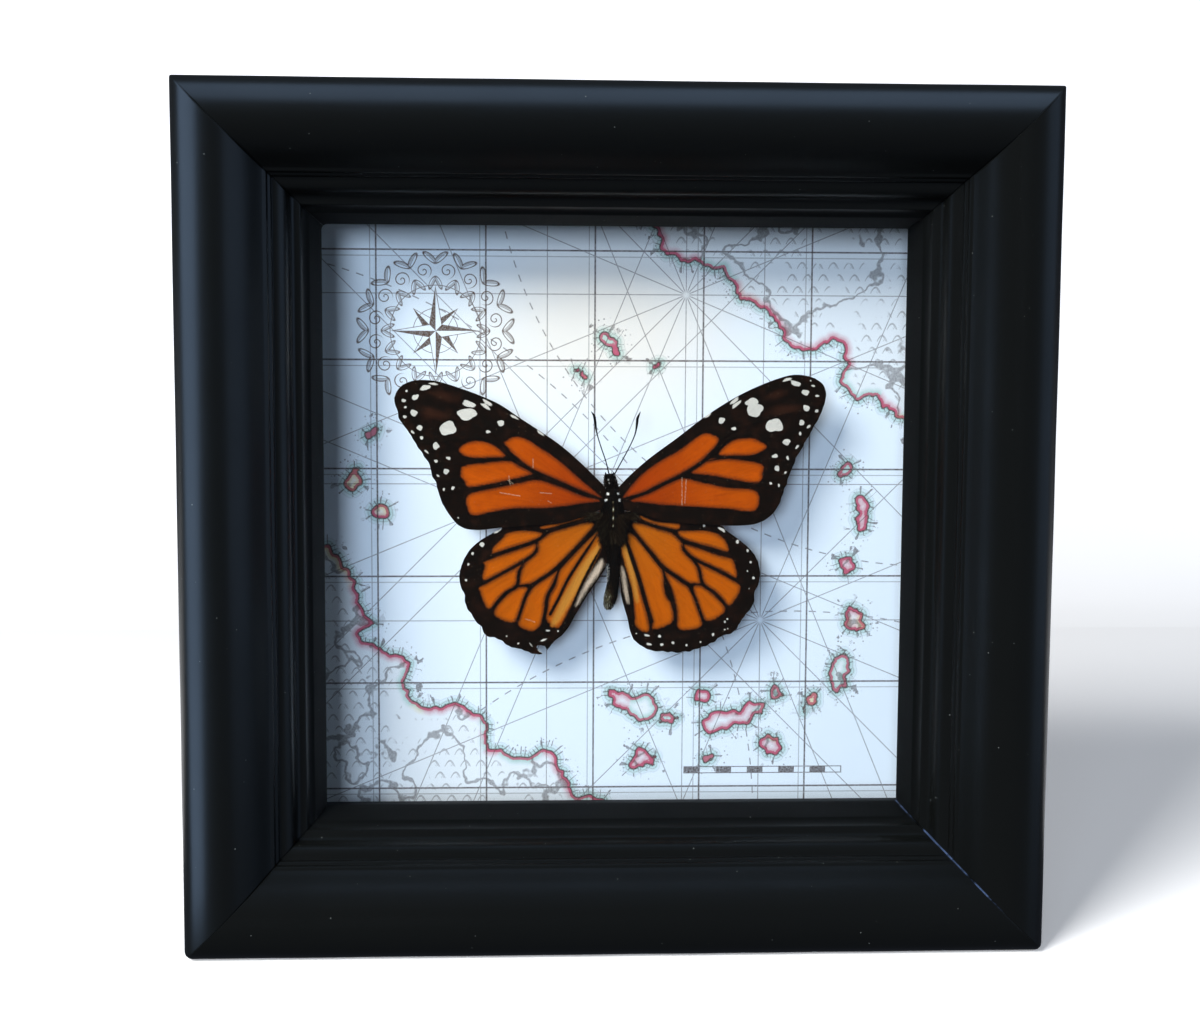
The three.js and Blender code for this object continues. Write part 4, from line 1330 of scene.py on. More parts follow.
RIGHT_HINDWING = Wing(
    costa=(
        (1.8, -0.6), (6.0, -0.3), (10.7, 0.0), (16.7, -0.9), (22.9, -3.2), (24.5, -4.4), (26.3, -5.7),
        (28.4, -7.3), (30.2, -9.1), (31.4, -11.1),
    ),
    outer=(
        (31.4, -11.1), (31.8, -13.4), (31.5, -15.8), (30.6, -17.8), (30.5, -19.9), (29.7, -21.4),
        (28.4, -23.2), (27.3, -25.1), (26.3, -26.4), (24.5, -26.9), (22.5, -28.1), (20.9, -29.1),
        (18.9, -29.8), (16.2, -30.6), (14.2, -30.8), (11.4, -30.6), (8.5, -30.3), (6.4, -29.3), (4.8, -28.0),
    ),
    inner=(
        (2.0, -5.9), (1.7, -10.8), (1.8, -14.9), (2.1, -18.3), (2.7, -20.8), (3.5, -23.5), (4.0, -25.9),
        (4.8, -28.0),
    ),
    cells=(
        ((6.0, -1.3), (9.4, -2.6), (14.3, -3.0), (13.5, -4.2), (7.6, -2.6)),
        ((14.1, -4.7), (15.9, -4.5), (20.0, -4.5), (22.5, -5.2), (24.3, -6.6), (24.8, -8.9), (21.2, -8.0),
         (15.5, -6.3)),
        ((15.5, -7.3), (23.5, -9.9), (25.7, -10.5), (26.6, -12.5), (26.5, -14.6), (23.5, -13.0),
         (18.0, -10.5), (15.8, -8.5)),
        ((18.3, -11.2), (21.3, -12.6), (25.8, -15.0), (27.6, -16.6), (26.5, -19.3), (24.9, -20.5),
         (22.6, -18.1), (19.9, -15.8), (18.9, -13.0)),
        ((17.5, -16.6), (19.7, -16.4), (22.0, -18.3), (24.4, -21.3), (22.2, -23.5), (19.8, -23.5),
         (18.3, -19.9)),
        ((11.2, -12.8), (14.2, -15.1), (16.7, -16.9), (17.9, -19.4), (19.5, -24.5), (17.2, -25.8),
         (14.3, -25.4), (13.9, -20.8), (12.2, -16.0)),
        ((2.6, -4.8), (5.4, -6.0), (10.6, -12.4), (11.2, -16.3), (11.6, -18.3), (12.9, -20.6), (13.2, -24.0),
         (9.3, -25.8), (8.6, -24.0), (5.9, -14.9), (4.2, -9.9), (2.4, -7.0)),
        ((2.4, -7.0), (4.0, -9.6), (8.2, -25.1), (5.2, -24.9), (4.3, -18.3), (2.8, -11.6), (2.0, -8.6)),
        ((4.3, -3.3), (6.0, -2.9), (9.9, -4.1), (12.9, -5.1), (14.8, -6.7), (15.1, -8.6), (17.2, -10.9),
         (18.3, -12.6), (19.1, -15.6), (16.9, -15.8), (14.4, -14.2), (11.2, -11.9), (8.6, -8.9),
         (6.7, -6.7)),
    ),
    spots=(
        (23.5, -4.2, 0.91, 0.28, -32), (19.7, -3.4, 0.3, 0.3, 0), (26.9, -6.8, 0.36, 0.44, 0),
        (29.1, -8.7, 0.25, 0.36, 0), (29.8, -11.2, 0.28, 0.28, 0), (29.1, -13.1, 0.21, 0.21, 0),
        (30.4, -14.6, 0.3, 0.3, 0), (29.5, -16.9, 0.15, 0.15, 0), (24.4, -24.1, 0.25, 0.25, 0),
        (24.9, -23.5, 0.21, 0.21, 0), (24.4, -25.8, 0.21, 0.21, 0), (25.0, -25.6, 0.17, 0.17, 0),
        (21.9, -26.9, 0.3, 0.34, 0), (19.2, -28.5, 0.21, 0.21, 0), (16.2, -29.2, 0.25, 0.25, 0),
        (13.3, -28.7, 0.3, 0.3, 0), (10.9, -29.1, 0.36, 0.3, 0), (10.4, -27.3, 0.36, 0.3, 0),
        (7.7, -27.1, 0.59, 0.25, -8), (8.1, -29.0, 0.59, 0.25, -15), (5.4, -26.7, 0.15, 0.15, 0),
    ),
    veins=(
        (0.28, ((5.8, -2.4), (9.9, -3.7), (13.0, -4.6), (15.1, -6.5), (20.0, -8.0), (25.0, -9.5))),
        (0.28, ((15.3, -6.8), (15.6, -8.5), (17.6, -10.5), (22.8, -13.0), (26.6, -15.0))),
        (0.28, ((17.6, -10.5), (18.7, -12.4), (19.5, -15.9), (21.7, -17.5), (23.4, -19.1), (24.7, -20.8))),
        (0.28, ((19.5, -16.0), (16.9, -16.2), (18.1, -19.4), (19.7, -23.8))),
        (0.25, ((3.8, -3.7), (6.5, -7.1), (8.3, -9.4), (10.8, -12.4), (14.2, -14.6), (16.9, -16.2))),
        (0.3, ((10.9, -12.5), (11.6, -14.9), (12.6, -17.1), (13.4, -20.4), (13.8, -23.8))),
        (0.7, ((12.1, -17.7), (12.4, -18.9))),
        (0.42, ((2.8, -5.6), (4.2, -9.9), (5.9, -14.9), (7.2, -19.4), (8.6, -24.0))),
        (0.25, ((2.7, -12.6), (4.0, -16.7), (4.4, -19.4), (4.8, -23.5))),
    ),
    ochre=(
        (2.2, -6.6), (3.8, -8.4), (5.4, -14.0), (6.2, -19.4), (5.0, -20.0), (3.6, -14.4), (2.3, -9.4),
    ),
    pale=(
        (1.9, -12.2), (2.8, -13.2), (3.7, -17.6), (3.9, -20.2), (3.2, -19.8), (2.4, -16.6),
    ),
)

WING_STEP = 0.2
WING_LIFT = math.radians(1.9)
HINDWING_BEHIND = 0.8
RIDGE_WIDE = 0.32
VEIN_TAPER = 4.0
BILLOW_WIDE = 1.7
WING_UNEVEN = 0.1
WING_WAVE = 9.0
VEIN_POINTS = 40
VEIN_START = 0.4
FAR_OUT = -4.0
NICK_DEEP = 0.14
NICK_WAVE = 1.5
SPOT_WAVES = (2, 3, 4, 6)
SPOT_SWINGS = (0.06, 0.08, 0.06, 0.02)


def coons(costa, outer, inner, base):
    """A patch filled from four edges: both rulings between facing edges, less the blend of the corners."""
    u = np.linspace(0, 1, len(costa))[:, None, None]
    v = np.linspace(0, 1, len(base))[None, :, None]
    along = (1 - v) * costa[:, None] + v * inner[:, None]
    across = (1 - u) * base[None] + u * outer[None]
    corners = (1 - u) * ((1 - v) * costa[0] + v * inner[0]) + u * ((1 - v) * costa[-1] + v * inner[-1])
    return along + across - corners


def shell(front, back, kept):
    """Two like grids of points closed along the free edges of the kept squares, unused points left out."""
    rows, columns = front.shape[:2]
    count = rows * columns
    quads = grid_faces(rows, columns)[kept]
    edges = np.concatenate([quads[:, [k, (k + 1) % 4]] for k in range(4)])
    order = np.sort(edges, axis=1)
    _, place, uses = np.unique(order[:, 0] * count + order[:, 1], return_index=True, return_counts=True)
    free = edges[place[uses == 1]]
    rim = np.stack([free[:, 1], free[:, 0], free[:, 0] + count, free[:, 1] + count], axis=1)
    faces = np.concatenate([quads, quads[:, ::-1] + count, rim])
    used, renumbered = np.unique(faces, return_inverse=True)
    points = np.concatenate([front.reshape(-1, 3), back.reshape(-1, 3)])[used]
    return Shape(points, [renumbered.reshape(-1, 4)]), used % count


def spot_depth(flat, spots):
    """How far each place lies inside the nearest of some uneven ovals, negative outside.

    An oval's edge swings in and out by a few seeded waves round its middle."""
    rng = np.random.default_rng(len(spots))
    depth = np.full(len(flat), FAR_OUT)
    for x, z, wide, high, degrees in spots:
        c, s = math.cos(math.radians(degrees)), math.sin(math.radians(degrees))
        dx, dz = flat[:, 0] - x, flat[:, 1] - z
        along, across = (dx * c + dz * s) / wide, (dz * c - dx * s) / high
        angle = np.arctan2(across, along)
        swing = sum(
            size * np.sin(wave * angle + phase)
            for wave, size, phase in zip(SPOT_WAVES, SPOT_SWINGS, rng.uniform(0, TURN, len(SPOT_WAVES)))
        )
        depth = np.maximum(depth, (1 + swing - np.hypot(along, across)) * min(wide, high))
    return depth


def area_depth(flat, outlines, steps=72):
    """How far each place lies inside the nearest of some smooth closed outlines, negative outside."""
    depth = np.full(len(flat), FAR_OUT)
    for outline in outlines:
        depth = np.maximum(depth, inside_distance(flat, flow(outline, steps, closed=True))[0])
    return depth


def wing_shape(wing, behind, look):
    """A wing: a patch between its four edges, raised along the veins and hollow between them.

    Its points keep how far they lie inside the bright cells, spots, folds and worn places."""
    steps_out, steps_down = (
        int(np.linalg.norm(np.diff(edge, axis=0), axis=1).sum() / WING_STEP)
        for edge in (wing.costa, wing.outer)
    )
    base = np.linspace(wing.costa[0], wing.inner[0], steps_down)
    outer = flow(wing.outer, steps_down)
    nicks = NICK_DEEP * ripple(outer, NICK_WAVE, len(wing.cells))
    nicks = nicks * np.sin(np.linspace(0, math.pi, steps_down))
    nicked = outer + nicks[:, None] * unit(outer)
    patch = coons(flow(wing.costa, steps_out), nicked, flow(wing.inner, steps_out), base)
    flat = patch.reshape(-1, 2)
    gap, thick = np.full(len(flat), -FAR_OUT), np.full(len(flat), -FAR_OUT)
    for half_width, route in wing.veins:
        near, along = line_distance(flat, flow(route, VEIN_POINTS))
        taper = VEIN_START + (1 - VEIN_START) * smooth(along, 0, VEIN_TAPER)
        gap = np.minimum(gap, near)
        thick = np.minimum(thick, near - half_width * taper)
    scuff = np.full(len(flat), -FAR_OUT)
    for route in wing.scuffs:
        scuff = np.minimum(scuff, line_distance(flat, np.array(route))[0])
    ridge = look.ridge / MM * np.exp(-((gap / RIDGE_WIDE) ** 2))
    hollow = look.billow / MM * (1 - np.exp(-((gap / BILLOW_WIDE) ** 2)))
    wave = WING_UNEVEN * ripple(flat, WING_WAVE, len(wing.spots))
    depth = behind - np.abs(flat[:, 0]) * math.tan(WING_LIFT) + hollow + wave
    grid = np.stack([flat[:, 0], depth, flat[:, 1]], axis=1).reshape(*patch.shape[:2], 3)
    lift = np.array((0, 1, 0)) * ridge.reshape(*patch.shape[:2], 1)
    centre = (patch[1:, 1:] + patch[:-1, :-1]).reshape(-1, 2) / 2
    kept = np.ones(len(centre), bool)
    if wing.notch:
        kept = inside_distance(centre, np.array((*wing.notch, wing.notch[0])))[0] < 0
    thickness = np.array((0, look.thickness / MM, 0))
    shape, kept_points = shell(grid - lift, grid + thickness + lift, kept)
    reach = np.hypot(*flat.T) / np.hypot(*flat.T).max()
    values = {
        "orange": area_depth(flat, wing.cells),
        "ochre": area_depth(flat, [wing.ochre] if wing.ochre else []),
        "pale": area_depth(flat, [wing.pale] if wing.pale else []),
        "spot": spot_depth(flat, wing.spots),
        "brown": spot_depth(flat, wing.browns),
        "vein": thick,
        "scuff": scuff,
        "reach": reach,
        "ray": np.arctan2(flat[:, 1] + 1.0, np.abs(flat[:, 0])),
    }
    shape.values = {name: value[kept_points] for name, value in values.items()}
    return shape.outward().moved(MIDDLE)


def wing_scales(name, look, full, deep):
    """Wing scales: cells fading from full to deep, black veins and margins, white spots and rubbed places.

    Each edge is the kept distance moved a little by noise, so it breaks up as rows of scales do."""
    wing = Finish(name)
    place = wing.place()
    scale = wing.cells(place, 7.5)
    powder = wing.noise(place, 5.0, detail=3, roughness=0.65)
    cloud = wing.noise(place, 0.45, detail=3)
    fray = (wing.noise(place, 2.6, detail=3, roughness=0.6) - 0.5) * 0.5
    orange, spot, vein = wing.value("orange"), wing.value("spot"), wing.value("vein")
    reach = wing.value("reach")
    rays = wing.node("ShaderNodeCombineXYZ", sockets=(wing.value("ray") * 46, reach * 7, 0.0))
    streak = wing.noise(rays, 1.0, detail=4, roughness=0.65)
    ochre = wing.value("ochre")
    bright = wing.mix(reach.ramp(0.05, 0.6), deep, full)
    bright = wing.mix(cloud.ramp(0.35, 0.8) * 0.3, bright, deep)
    fringe = fray + (streak - 0.5) * 0.9
    bright = wing.mix((orange + fringe).ramp(1.0, 0.0) * 0.6, bright, look.brown)
    bright = wing.mix((vein + fringe).ramp(0.8, 0.0) * 0.5, bright, look.brown)
    bright = wing.mix((ochre + fringe).ramp(-0.2, 1.0) * 0.85, bright, look.ochre)
    dark = wing.mix(cloud.ramp(0.45, 0.8) * 0.3, look.black, look.brown)
    dark = wing.mix((wing.value("brown") + fray * 2).ramp(-0.5, 0.9) * 0.55, dark, look.brown)
    cell = (orange.at_least(ochre) + fringe * 0.6).ramp(-0.2, 0.25)
    line = (vein + fray * 0.5).ramp(0.2, -0.14)
    base = wing.mix(cell * (1 - line), dark, bright)
    downy = (wing.value("pale") + fray + streak - 0.5).ramp(-0.2, 0.8) * (0.45 + streak)
    base = wing.mix(downy, base, look.pale)
    base = wing.mix((spot + fray * 0.4).ramp(-0.06, 0.08), base, look.spot)
    rubbed = (wing.value("scuff") + fray * 0.5).ramp(0.2, 0.04) * powder.ramp(0.38, 0.58)
    grit = (wing.cells(place, 0.9) + fray * 0.1).ramp(0.075, 0.03)
    base = wing.mix(rubbed * 0.55 + grit * 0.35, base, look.rubbed)
    shadow = (scale - 0.35) * 0.3 + (powder - 0.5) * 0.5 + (streak - 0.5) * 0.5 + 0.06
    base = wing.mix(shadow, base, look.shadow)
    relief = wing.bump(scale * 0.5 + powder, 0.03)
    roughness = 0.6 + powder * 0.25
    return wing.surface(Base_Color=base, Roughness=roughness, Normal=relief, Specular_IOR_Level=0.06)


def spread_pair(kind, left, right, behind, finish, look):
    """Both wings of a kind, a distance behind the specimen's middle."""
    for side, wing in (("left", left), ("right", right)):
        shape = wing_shape(wing, behind, look)
        add_piece(f"{side}_{kind}_scaled", shape, finish, "wing_scales", f"{side}_{kind}", crease=60)


class SPECIMEN_OT_forewings(bpy.types.Operator):
    """Spread the two forewings, their tips lifted towards the glass"""

    bl_idname = "specimen.forewings"
    bl_label = "Forewings"

    def execute(self, context):
        look = context.scene.specimen.wings
        finish = wing_scales("forewing_scales", look, look.orange, look.russet)
        spread_pair("forewing", LEFT_FOREWING, RIGHT_FOREWING, 0.0, finish, look)
        return {"FINISHED"}


class SPECIMEN_OT_hindwings(bpy.types.Operator):
    """Spread the two hindwings behind the forewings, the left one torn at its foot"""

    bl_idname = "specimen.hindwings"
    bl_label = "Hindwings"

    def execute(self, context):
        look = context.scene.specimen.wings
        finish = wing_scales("hindwing_scales", look, look.amber, look.honey)
        spread_pair("hindwing", LEFT_HINDWING, RIGHT_HINDWING, HINDWING_BEHIND, finish, look)
        return {"FINISHED"}


# Body: three trunks with hair, eyes, feelers and the block behind


class Trunk:
    """A body part as rings along Z: centres and half widths flow through a few stations."""

    def __init__(self, stations, rings=60):
        self.path = flow(stations, rings)
        self.t = np.linspace(0, 1, rings)

    def at(self, t, angle):
        """Places and outward directions at shares of the length and angles round it, from right to back."""
        z, x, y, wide, deep = (np.interp(t, self.t, self.path[:, k]) for k in range(5))
        place = np.stack([x + wide * np.cos(angle), y + deep * np.sin(angle), z], axis=-1)
        normal = unit(np.stack([np.cos(angle) / wide, np.sin(angle) / deep, 0 * z], axis=-1))
        return place, normal

    def skin(self, sides=40, swell=None):
        """The trunk's own surface; swell says how far each point is moved outwards."""
        t, angle = np.meshgrid(self.t, np.linspace(0, TURN, sides, endpoint=False), indexing="ij")
        place, normal = self.at(t, angle)
        if swell is not None:
            place = place + normal * swell(t, angle)[..., None]
        return place


# Stations are Z, X, Y, half width and half depth from the specimen's middle, Y growing away from the glass
THORAX_STATIONS = (
    (5.0, 0.0, 0.9, 0.15, 0.2), (4.6, 0.0, 0.9, 1.2, 1.3), (3.4, 0.05, 1.0, 1.75, 2.0),
    (1.4, 0.15, 1.0, 2.2, 2.6), (-1.0, 0.15, 1.0, 2.35, 2.85), (-3.6, 0.15, 1.05, 2.15, 2.6),
    (-5.4, 0.2, 1.2, 1.6, 1.9), (-6.3, 0.2, 1.3, 0.2, 0.25),
)
ABDOMEN_STATIONS = (
    (-6.2, 0.25, 1.4, 0.3, 0.35), (-6.9, 0.3, 1.4, 1.25, 1.35), (-9.0, 0.35, 1.5, 1.42, 1.6),
    (-12.5, 0.42, 1.5, 1.3, 1.55), (-15.5, 0.36, 1.5, 1.2, 1.45), (-18.6, -0.15, 1.5, 1.28, 1.4),
    (-20.4, -0.5, 1.5, 1.0, 1.1), (-21.5, -0.62, 1.5, 0.12, 0.15),
)
HEAD_STATIONS = (
    (7.5, -0.5, 0.5, 0.12, 0.15), (7.2, -0.5, 0.5, 0.75, 0.75), (6.6, -0.45, 0.6, 1.05, 1.25),
    (5.6, -0.3, 0.7, 1.2, 1.4), (4.8, -0.1, 0.8, 1.25, 1.2), (4.2, -0.05, 0.8, 0.3, 0.3),
)
WHITE_DOTS = (
    (-0.9, 3.5, 0.34), (-1.3, 2.2, 0.28), (1.15, 3.6, 0.27), (1.45, 2.25, 0.3), (-0.85, 6.4, 0.2),
    (0.1, 7.5, 0.22), (-0.6, 5.7, 0.12), (-0.2, 6.9, 0.13),
)
MID_LINE = ((0.2, 1.8), (0.2, -3.4))
SEGMENT = 1.75
WORN_ALONG = (-14.5, -19.0)
WORN_ACROSS = (0.8, -0.8)
STRAND_JOINTS = np.array((0.0, 0.5, 0.82))
STRAND_SIDES = 3
HAIR_THICK = 0.05
HAIR_STRAY = 0.22
HAIR_DROOP = 0.45
HAIR_TAPER = 0.75
FLUTES = 6
FLUTE_DEEP = 0.06
MID_EDGE = (0.2, 0.08)
MID_TALL = 0.18
MID_BARE = 0.3
SEGMENT_SWELL = 0.1
SEGMENT_SUNK = 0.06
# Shares of each trunk's length between which hair grows
THORAX_HAIRY, SKIRT_HAIRY, ABDOMEN_HAIRY, HEAD_HAIRY = (0.04, 0.97), (0.5, 0.99), (0.02, 0.98), (0.06, 0.92)
# Pale flecks on the abdomen's left side: middle, half length, side and share of the hair
FLECK_MIDDLE, FLECK_HALF, FLECK_SIDE, FLECK_SHARE = -13.6, 2.2, -0.45, 0.45
# Share by which hair lies over from upright to along the comb
THORAX_LEAN, SKIRT_LEAN, ABDOMEN_LEAN, HEAD_LEAN, TUFT_LEAN = 0.72, 0.7, 0.86, 0.5, 0.85
THORAX_SEED, ABDOMEN_SEED, HEAD_SEED, TUFT_SEED = 11, 12, 13, 14


def hair(roots, normals, comb, lengths, lean, tone, rng):
    """Strands as three-sided spikes: each starts along the skin's normal and bends over towards the comb."""
    count = len(roots)
    jitter = rng.normal(scale=HAIR_STRAY, size=(count, 3))
    t = np.append(STRAND_JOINTS, 1.0)[:, None, None]
    rise = (1 - lean) * (t - HAIR_DROOP * t**2)
    lines = roots + lengths[:, None] * (rise * normals + lean * t * comb + 0.5 * t**2 * jitter)
    side = unit(np.cross(comb + jitter, normals + 0.1))
    other = unit(np.cross(side, comb))
    angle = np.arange(STRAND_SIDES) * TURN / STRAND_SIDES
    ring = side[:, None] * np.cos(angle)[None, :, None] + other[:, None] * np.sin(angle)[None, :, None]
    taper = (1 - HAIR_TAPER * STRAND_JOINTS)[:, None, None, None]
    rings = lines[:-1][:, :, None] + HAIR_THICK * taper * ring[None]
    points = np.concatenate([rings.transpose(1, 0, 2, 3).reshape(count, -1, 3), lines[-1][:, None]], axis=1)
    joints = len(STRAND_JOINTS)
    first = np.arange(count)[:, None, None] * (joints * STRAND_SIDES + 1)
    quads = (first + grid_faces(joints, STRAND_SIDES, ring=True)).reshape(-1, 4)
    top = (joints - 1) * STRAND_SIDES + np.arange(STRAND_SIDES)
    tips = np.stack([top, np.roll(top, -1), np.full(STRAND_SIDES, joints * STRAND_SIDES)], axis=1)
    tips = (first + tips).reshape(-1, 3)
    feet = (first[:, 0] + (2, 1, 0)).reshape(-1, 3)
    tones = np.repeat(tone, points.shape[1])
    return Shape(points.reshape(-1, 3), [quads, np.concatenate([tips, feet])], tone=tones).outward()


def dot_tone(places):
    """1 on the small white dots of the front, 0 elsewhere."""
    tone = np.zeros(len(places))
    for x, z, radius in WHITE_DOTS:
        gap = np.hypot(places[:, 0] - x, places[:, 2] - z)
        tone = np.maximum(tone, smooth(gap, radius + 0.05, radius - 0.05))
    return tone * (places[:, 1] < 1.0)


def thorax_shape(look):
    """The thorax: a fluted trunk with a bare ridge facing the glass, painted pale along it as a highlight,
    under hair combed to the rear.
    """
    rng = np.random.default_rng(THORAX_SEED)
    trunk = Trunk(THORAX_STATIONS)
    skin = tube(trunk.skin(swell=lambda t, a: FLUTE_DEEP * np.cos(FLUTES * a)))
    gap = line_distance(skin.points[:, [0, 2]], np.array(MID_LINE))[0]
    ridge = smooth(gap, *MID_EDGE) * (skin.points[:, 1] < 0)
    skin.points[:, 1] -= MID_TALL * ridge
    # Painted highlight: the bare ridge gets a pale, broken tone that stands in for light shining on it.
    painted_sheen = ridge * (0.55 + 0.45 * np.sin(3.4 * skin.points[:, 2] + 0.6))
    skin.values["tone"] = np.maximum(dot_tone(skin.points), 0.95 * painted_sheen)
    t = rng.uniform(*THORAX_HAIRY, look.strands)
    angle = rng.uniform(0, TURN, look.strands)
    roots, normals = trunk.at(t, angle)
    bare = line_distance(roots[:, [0, 2]], np.array(MID_LINE))[0] < MID_BARE
    rear = smooth(t, 0.35, 0.95)
    lengths = look.hair / MM * (0.2 + 0.8 * rear) * rng.uniform(0.6, 1.15, len(t))
    lengths = np.where(bare & (roots[:, 1] < 0), 0.12, lengths)
    comb = unit(np.stack([0.45 * np.cos(angle), 0.15 * np.sin(angle), -1 + 0 * t], axis=1))
    dots = dot_tone(roots)
    tone = np.where(dots > 0.5, 1.0, np.clip(0.06 + 0.2 * rear + 0.1 * rng.normal(size=len(t)), 0.0, 0.5))
    lengths = np.where(dots > 0.5, 0.3, lengths)
    coat = hair(roots, normals, comb, lengths, THORAX_LEAN, tone, rng)
    count = look.strands // 2
    side = np.where(np.arange(count) % 2, 1.0, -1.0)
    angle = np.where(side > 0, 0, math.pi) - side * rng.uniform(-0.4, 1.2, count)
    roots, normals = trunk.at(rng.uniform(*SKIRT_HAIRY, count), angle)
    comb = unit(np.stack([0.42 * side, np.full(count, -0.12), np.full(count, -0.9)], axis=1))
    tone = np.clip(0.22 + 0.12 * rng.normal(size=count), 0.0, 0.5)
    lengths = look.hair / MM * rng.uniform(0.7, 1.5, count)
    skirt = hair(roots, normals, comb, lengths, SKIRT_LEAN, tone, rng)
    return join([skin, coat, skirt])


def worn_tip(places):
    """1 on the left of the abdomen's end, fading to 0 along it and across it."""
    return smooth(places[:, 2], *WORN_ALONG) * smooth(places[:, 0], *WORN_ACROSS)


def abdomen_shape(look):
    """The abdomen: a bent trunk pinched between segments, with short hair and a worn grey tip."""
    rng = np.random.default_rng(ABDOMEN_SEED)
    trunk = Trunk(ABDOMEN_STATIONS, rings=110)
    span = abs(ABDOMEN_STATIONS[0][0] - ABDOMEN_STATIONS[-1][0])
    rate = math.pi * span / SEGMENT
    skin = tube(trunk.skin(swell=lambda t, a: SEGMENT_SWELL * np.abs(np.sin(rate * t)) - SEGMENT_SUNK))
    count = look.strands // 2
    t, angle = rng.uniform(*ABDOMEN_HAIRY, count), rng.uniform(0, TURN, count)
    roots, normals = trunk.at(t, angle)
    worn = worn_tip(roots)
    beside = (np.abs(roots[:, 2] - FLECK_MIDDLE) < FLECK_HALF) & (roots[:, 0] < FLECK_SIDE)
    fleck = beside & (rng.uniform(size=count) < FLECK_SHARE)
    mixed = 0.08 + 0.4 * worn + (0.08 + 0.2 * worn) * rng.normal(size=count)
    tone = np.where(fleck, 0.85, np.clip(mixed, 0, 0.8))
    front = 1 - smooth(t, 0.0, 0.35)
    lengths = look.hair / MM * (0.26 + 0.6 * front) * rng.uniform(0.6, 1.2, count)
    comb = unit(np.stack([0.25 * np.cos(angle), 0.1 * np.sin(angle), -1 + 0 * t], axis=1))
    skin.values["tone"] = 0.45 * worn_tip(skin.points)
    return join([skin, hair(roots, normals, comb, lengths, ABDOMEN_LEAN, tone, rng)])


PALPS = (
    ((-1.2, -0.5, 6.5), (-1.4, -0.8, 7.3), (-1.5, -0.8, 8.1)),
    ((-0.3, -0.6, 6.7), (0.0, -0.9, 7.4), (0.3, -0.9, 8.1)),
)
PALP_RADII = (0.26, 0.3, 0.27, 0.2, 0.05)
PALP_SIDES = 10
PALP_RINGS = 24


def head_shape(look):
    """The head: a short trunk with two upturned palps and short dark hair."""
    rng = np.random.default_rng(HEAD_SEED)
    trunk = Trunk(HEAD_STATIONS, rings=40)
    skin = tube(trunk.skin())
    skin.values["tone"] = dot_tone(skin.points)
    palps = [rod(palp, PALP_RADII, PALP_SIDES, PALP_RINGS) for palp in PALPS]
    count = look.strands // 5
    t, angle = rng.uniform(*HEAD_HAIRY, count), rng.uniform(0, TURN, count)
    roots, normals = trunk.at(t, angle)
    dots = dot_tone(roots)
    tone = np.where(dots > 0.5, 1.0, np.clip(0.16 + 0.1 * rng.normal(size=count), 0, 0.4))
    lengths = look.hair / MM * 0.3 * rng.uniform(0.6, 1.2, count)
    comb = unit(np.stack([0.3 * np.cos(angle), 0 * t - 0.2, 0.5 + 0 * t], axis=1))
    return join([skin, *palps, hair(roots, normals, comb, lengths, HEAD_LEAN, tone, rng)])


def rod(route, radii, sides, rings):
    """A round section carried along a smooth route, its radius flowing through a few values."""
    path = flow(route, rings)
    along = np.linspace(0, 1, rings)
    radius = np.interp(along, np.linspace(0, 1, len(radii)), radii)
    heading = unit(np.gradient(path, axis=0))
    side = unit(np.cross(heading, np.array((0.0, 1.0, 0.0))))
    other = np.cross(heading, side)
    angle = np.linspace(0, TURN, sides, endpoint=False)
    ring = side[:, None] * np.cos(angle)[None, :, None] + other[:, None] * np.sin(angle)[None, :, None]
    return tube(path[:, None] + radius[:, None, None] * ring)


EYES = ((-1.2, 0.3, 6.2), (0.3, 0.3, 6.2))
EYE_RADII = (0.52, 0.8, 0.75)
EYE_POLE = 0.02
EYE_RINGS = 28
EYE_SIDES = 40


def eyes_shape():
    """Two eyes: ovals drawn by a half circle turned about the upright axis."""
    rise = np.linspace(EYE_POLE, math.pi - EYE_POLE, EYE_RINGS)[:, None]
    angle = np.linspace(0, TURN, EYE_SIDES, endpoint=False)[None]
    across = np.sin(rise)
    ball = np.stack([across * np.cos(angle), across * np.sin(angle), np.cos(rise) + 0 * angle], axis=-1)
    return join([tube(ball * EYE_RADII + place) for place in EYES])


TUFTS = ((-4.6, -1.4, -1), (3.6, -1.3, 1))
TUFT_STRANDS = 420
TUFT_SPREAD = (1.0, 0.12, 0.45)
TUFT_INSET = 0.8
TUFT_FRONT = -0.35


def tuft_shape():
    """Loose grey hair at the wing roots, combed outwards along the wings."""
    rng = np.random.default_rng(TUFT_SEED)
    shapes = []
    for x, z, side in TUFTS:
        spread = rng.normal(size=(TUFT_STRANDS, 3)) * TUFT_SPREAD
        roots = np.array((x - side * TUFT_INSET, TUFT_FRONT, z)) + spread
        normals = np.tile((0.0, -1.0, 0.0), (TUFT_STRANDS, 1))
        comb = unit(np.array((side * 1.0, -0.12, -0.35)) + rng.normal(scale=0.3, size=(TUFT_STRANDS, 3)))
        lengths = rng.uniform(0.5, 1.3, TUFT_STRANDS)
        tone = np.clip(0.24 + 0.12 * rng.normal(size=TUFT_STRANDS), 0.05, 0.5)
        shapes.append(hair(roots, normals, comb, lengths, TUFT_LEAN, tone, rng))
    return join(shapes)


def body_hair(look):
    """Dark body: from bare skin through fuzz and grey to white with the tone kept at each point."""
    coat = Finish("body_hair")
    place = coat.place()
    tone = coat.value("tone")
    grain = coat.noise(place, 4.0, detail=3)
    base = coat.mix(tone.ramp(0.0, 0.25), look.skin, look.fuzz)
    base = coat.mix(tone.ramp(0.3, 0.65), base, look.grey)
    # The near-white end of the tone also carries the painted highlight along the thorax's ridge.
    base = coat.mix(tone.ramp(0.7, 0.95), base, look.white)
    base = coat.mix((grain - 0.4) * 0.6, base, toned(look.skin, 0.4))
    return coat.surface(
        Base_Color=base, Roughness=0.4 + grain * 0.3, Normal=coat.bump(grain, 0.02), Specular_IOR_Level=0.1
    )


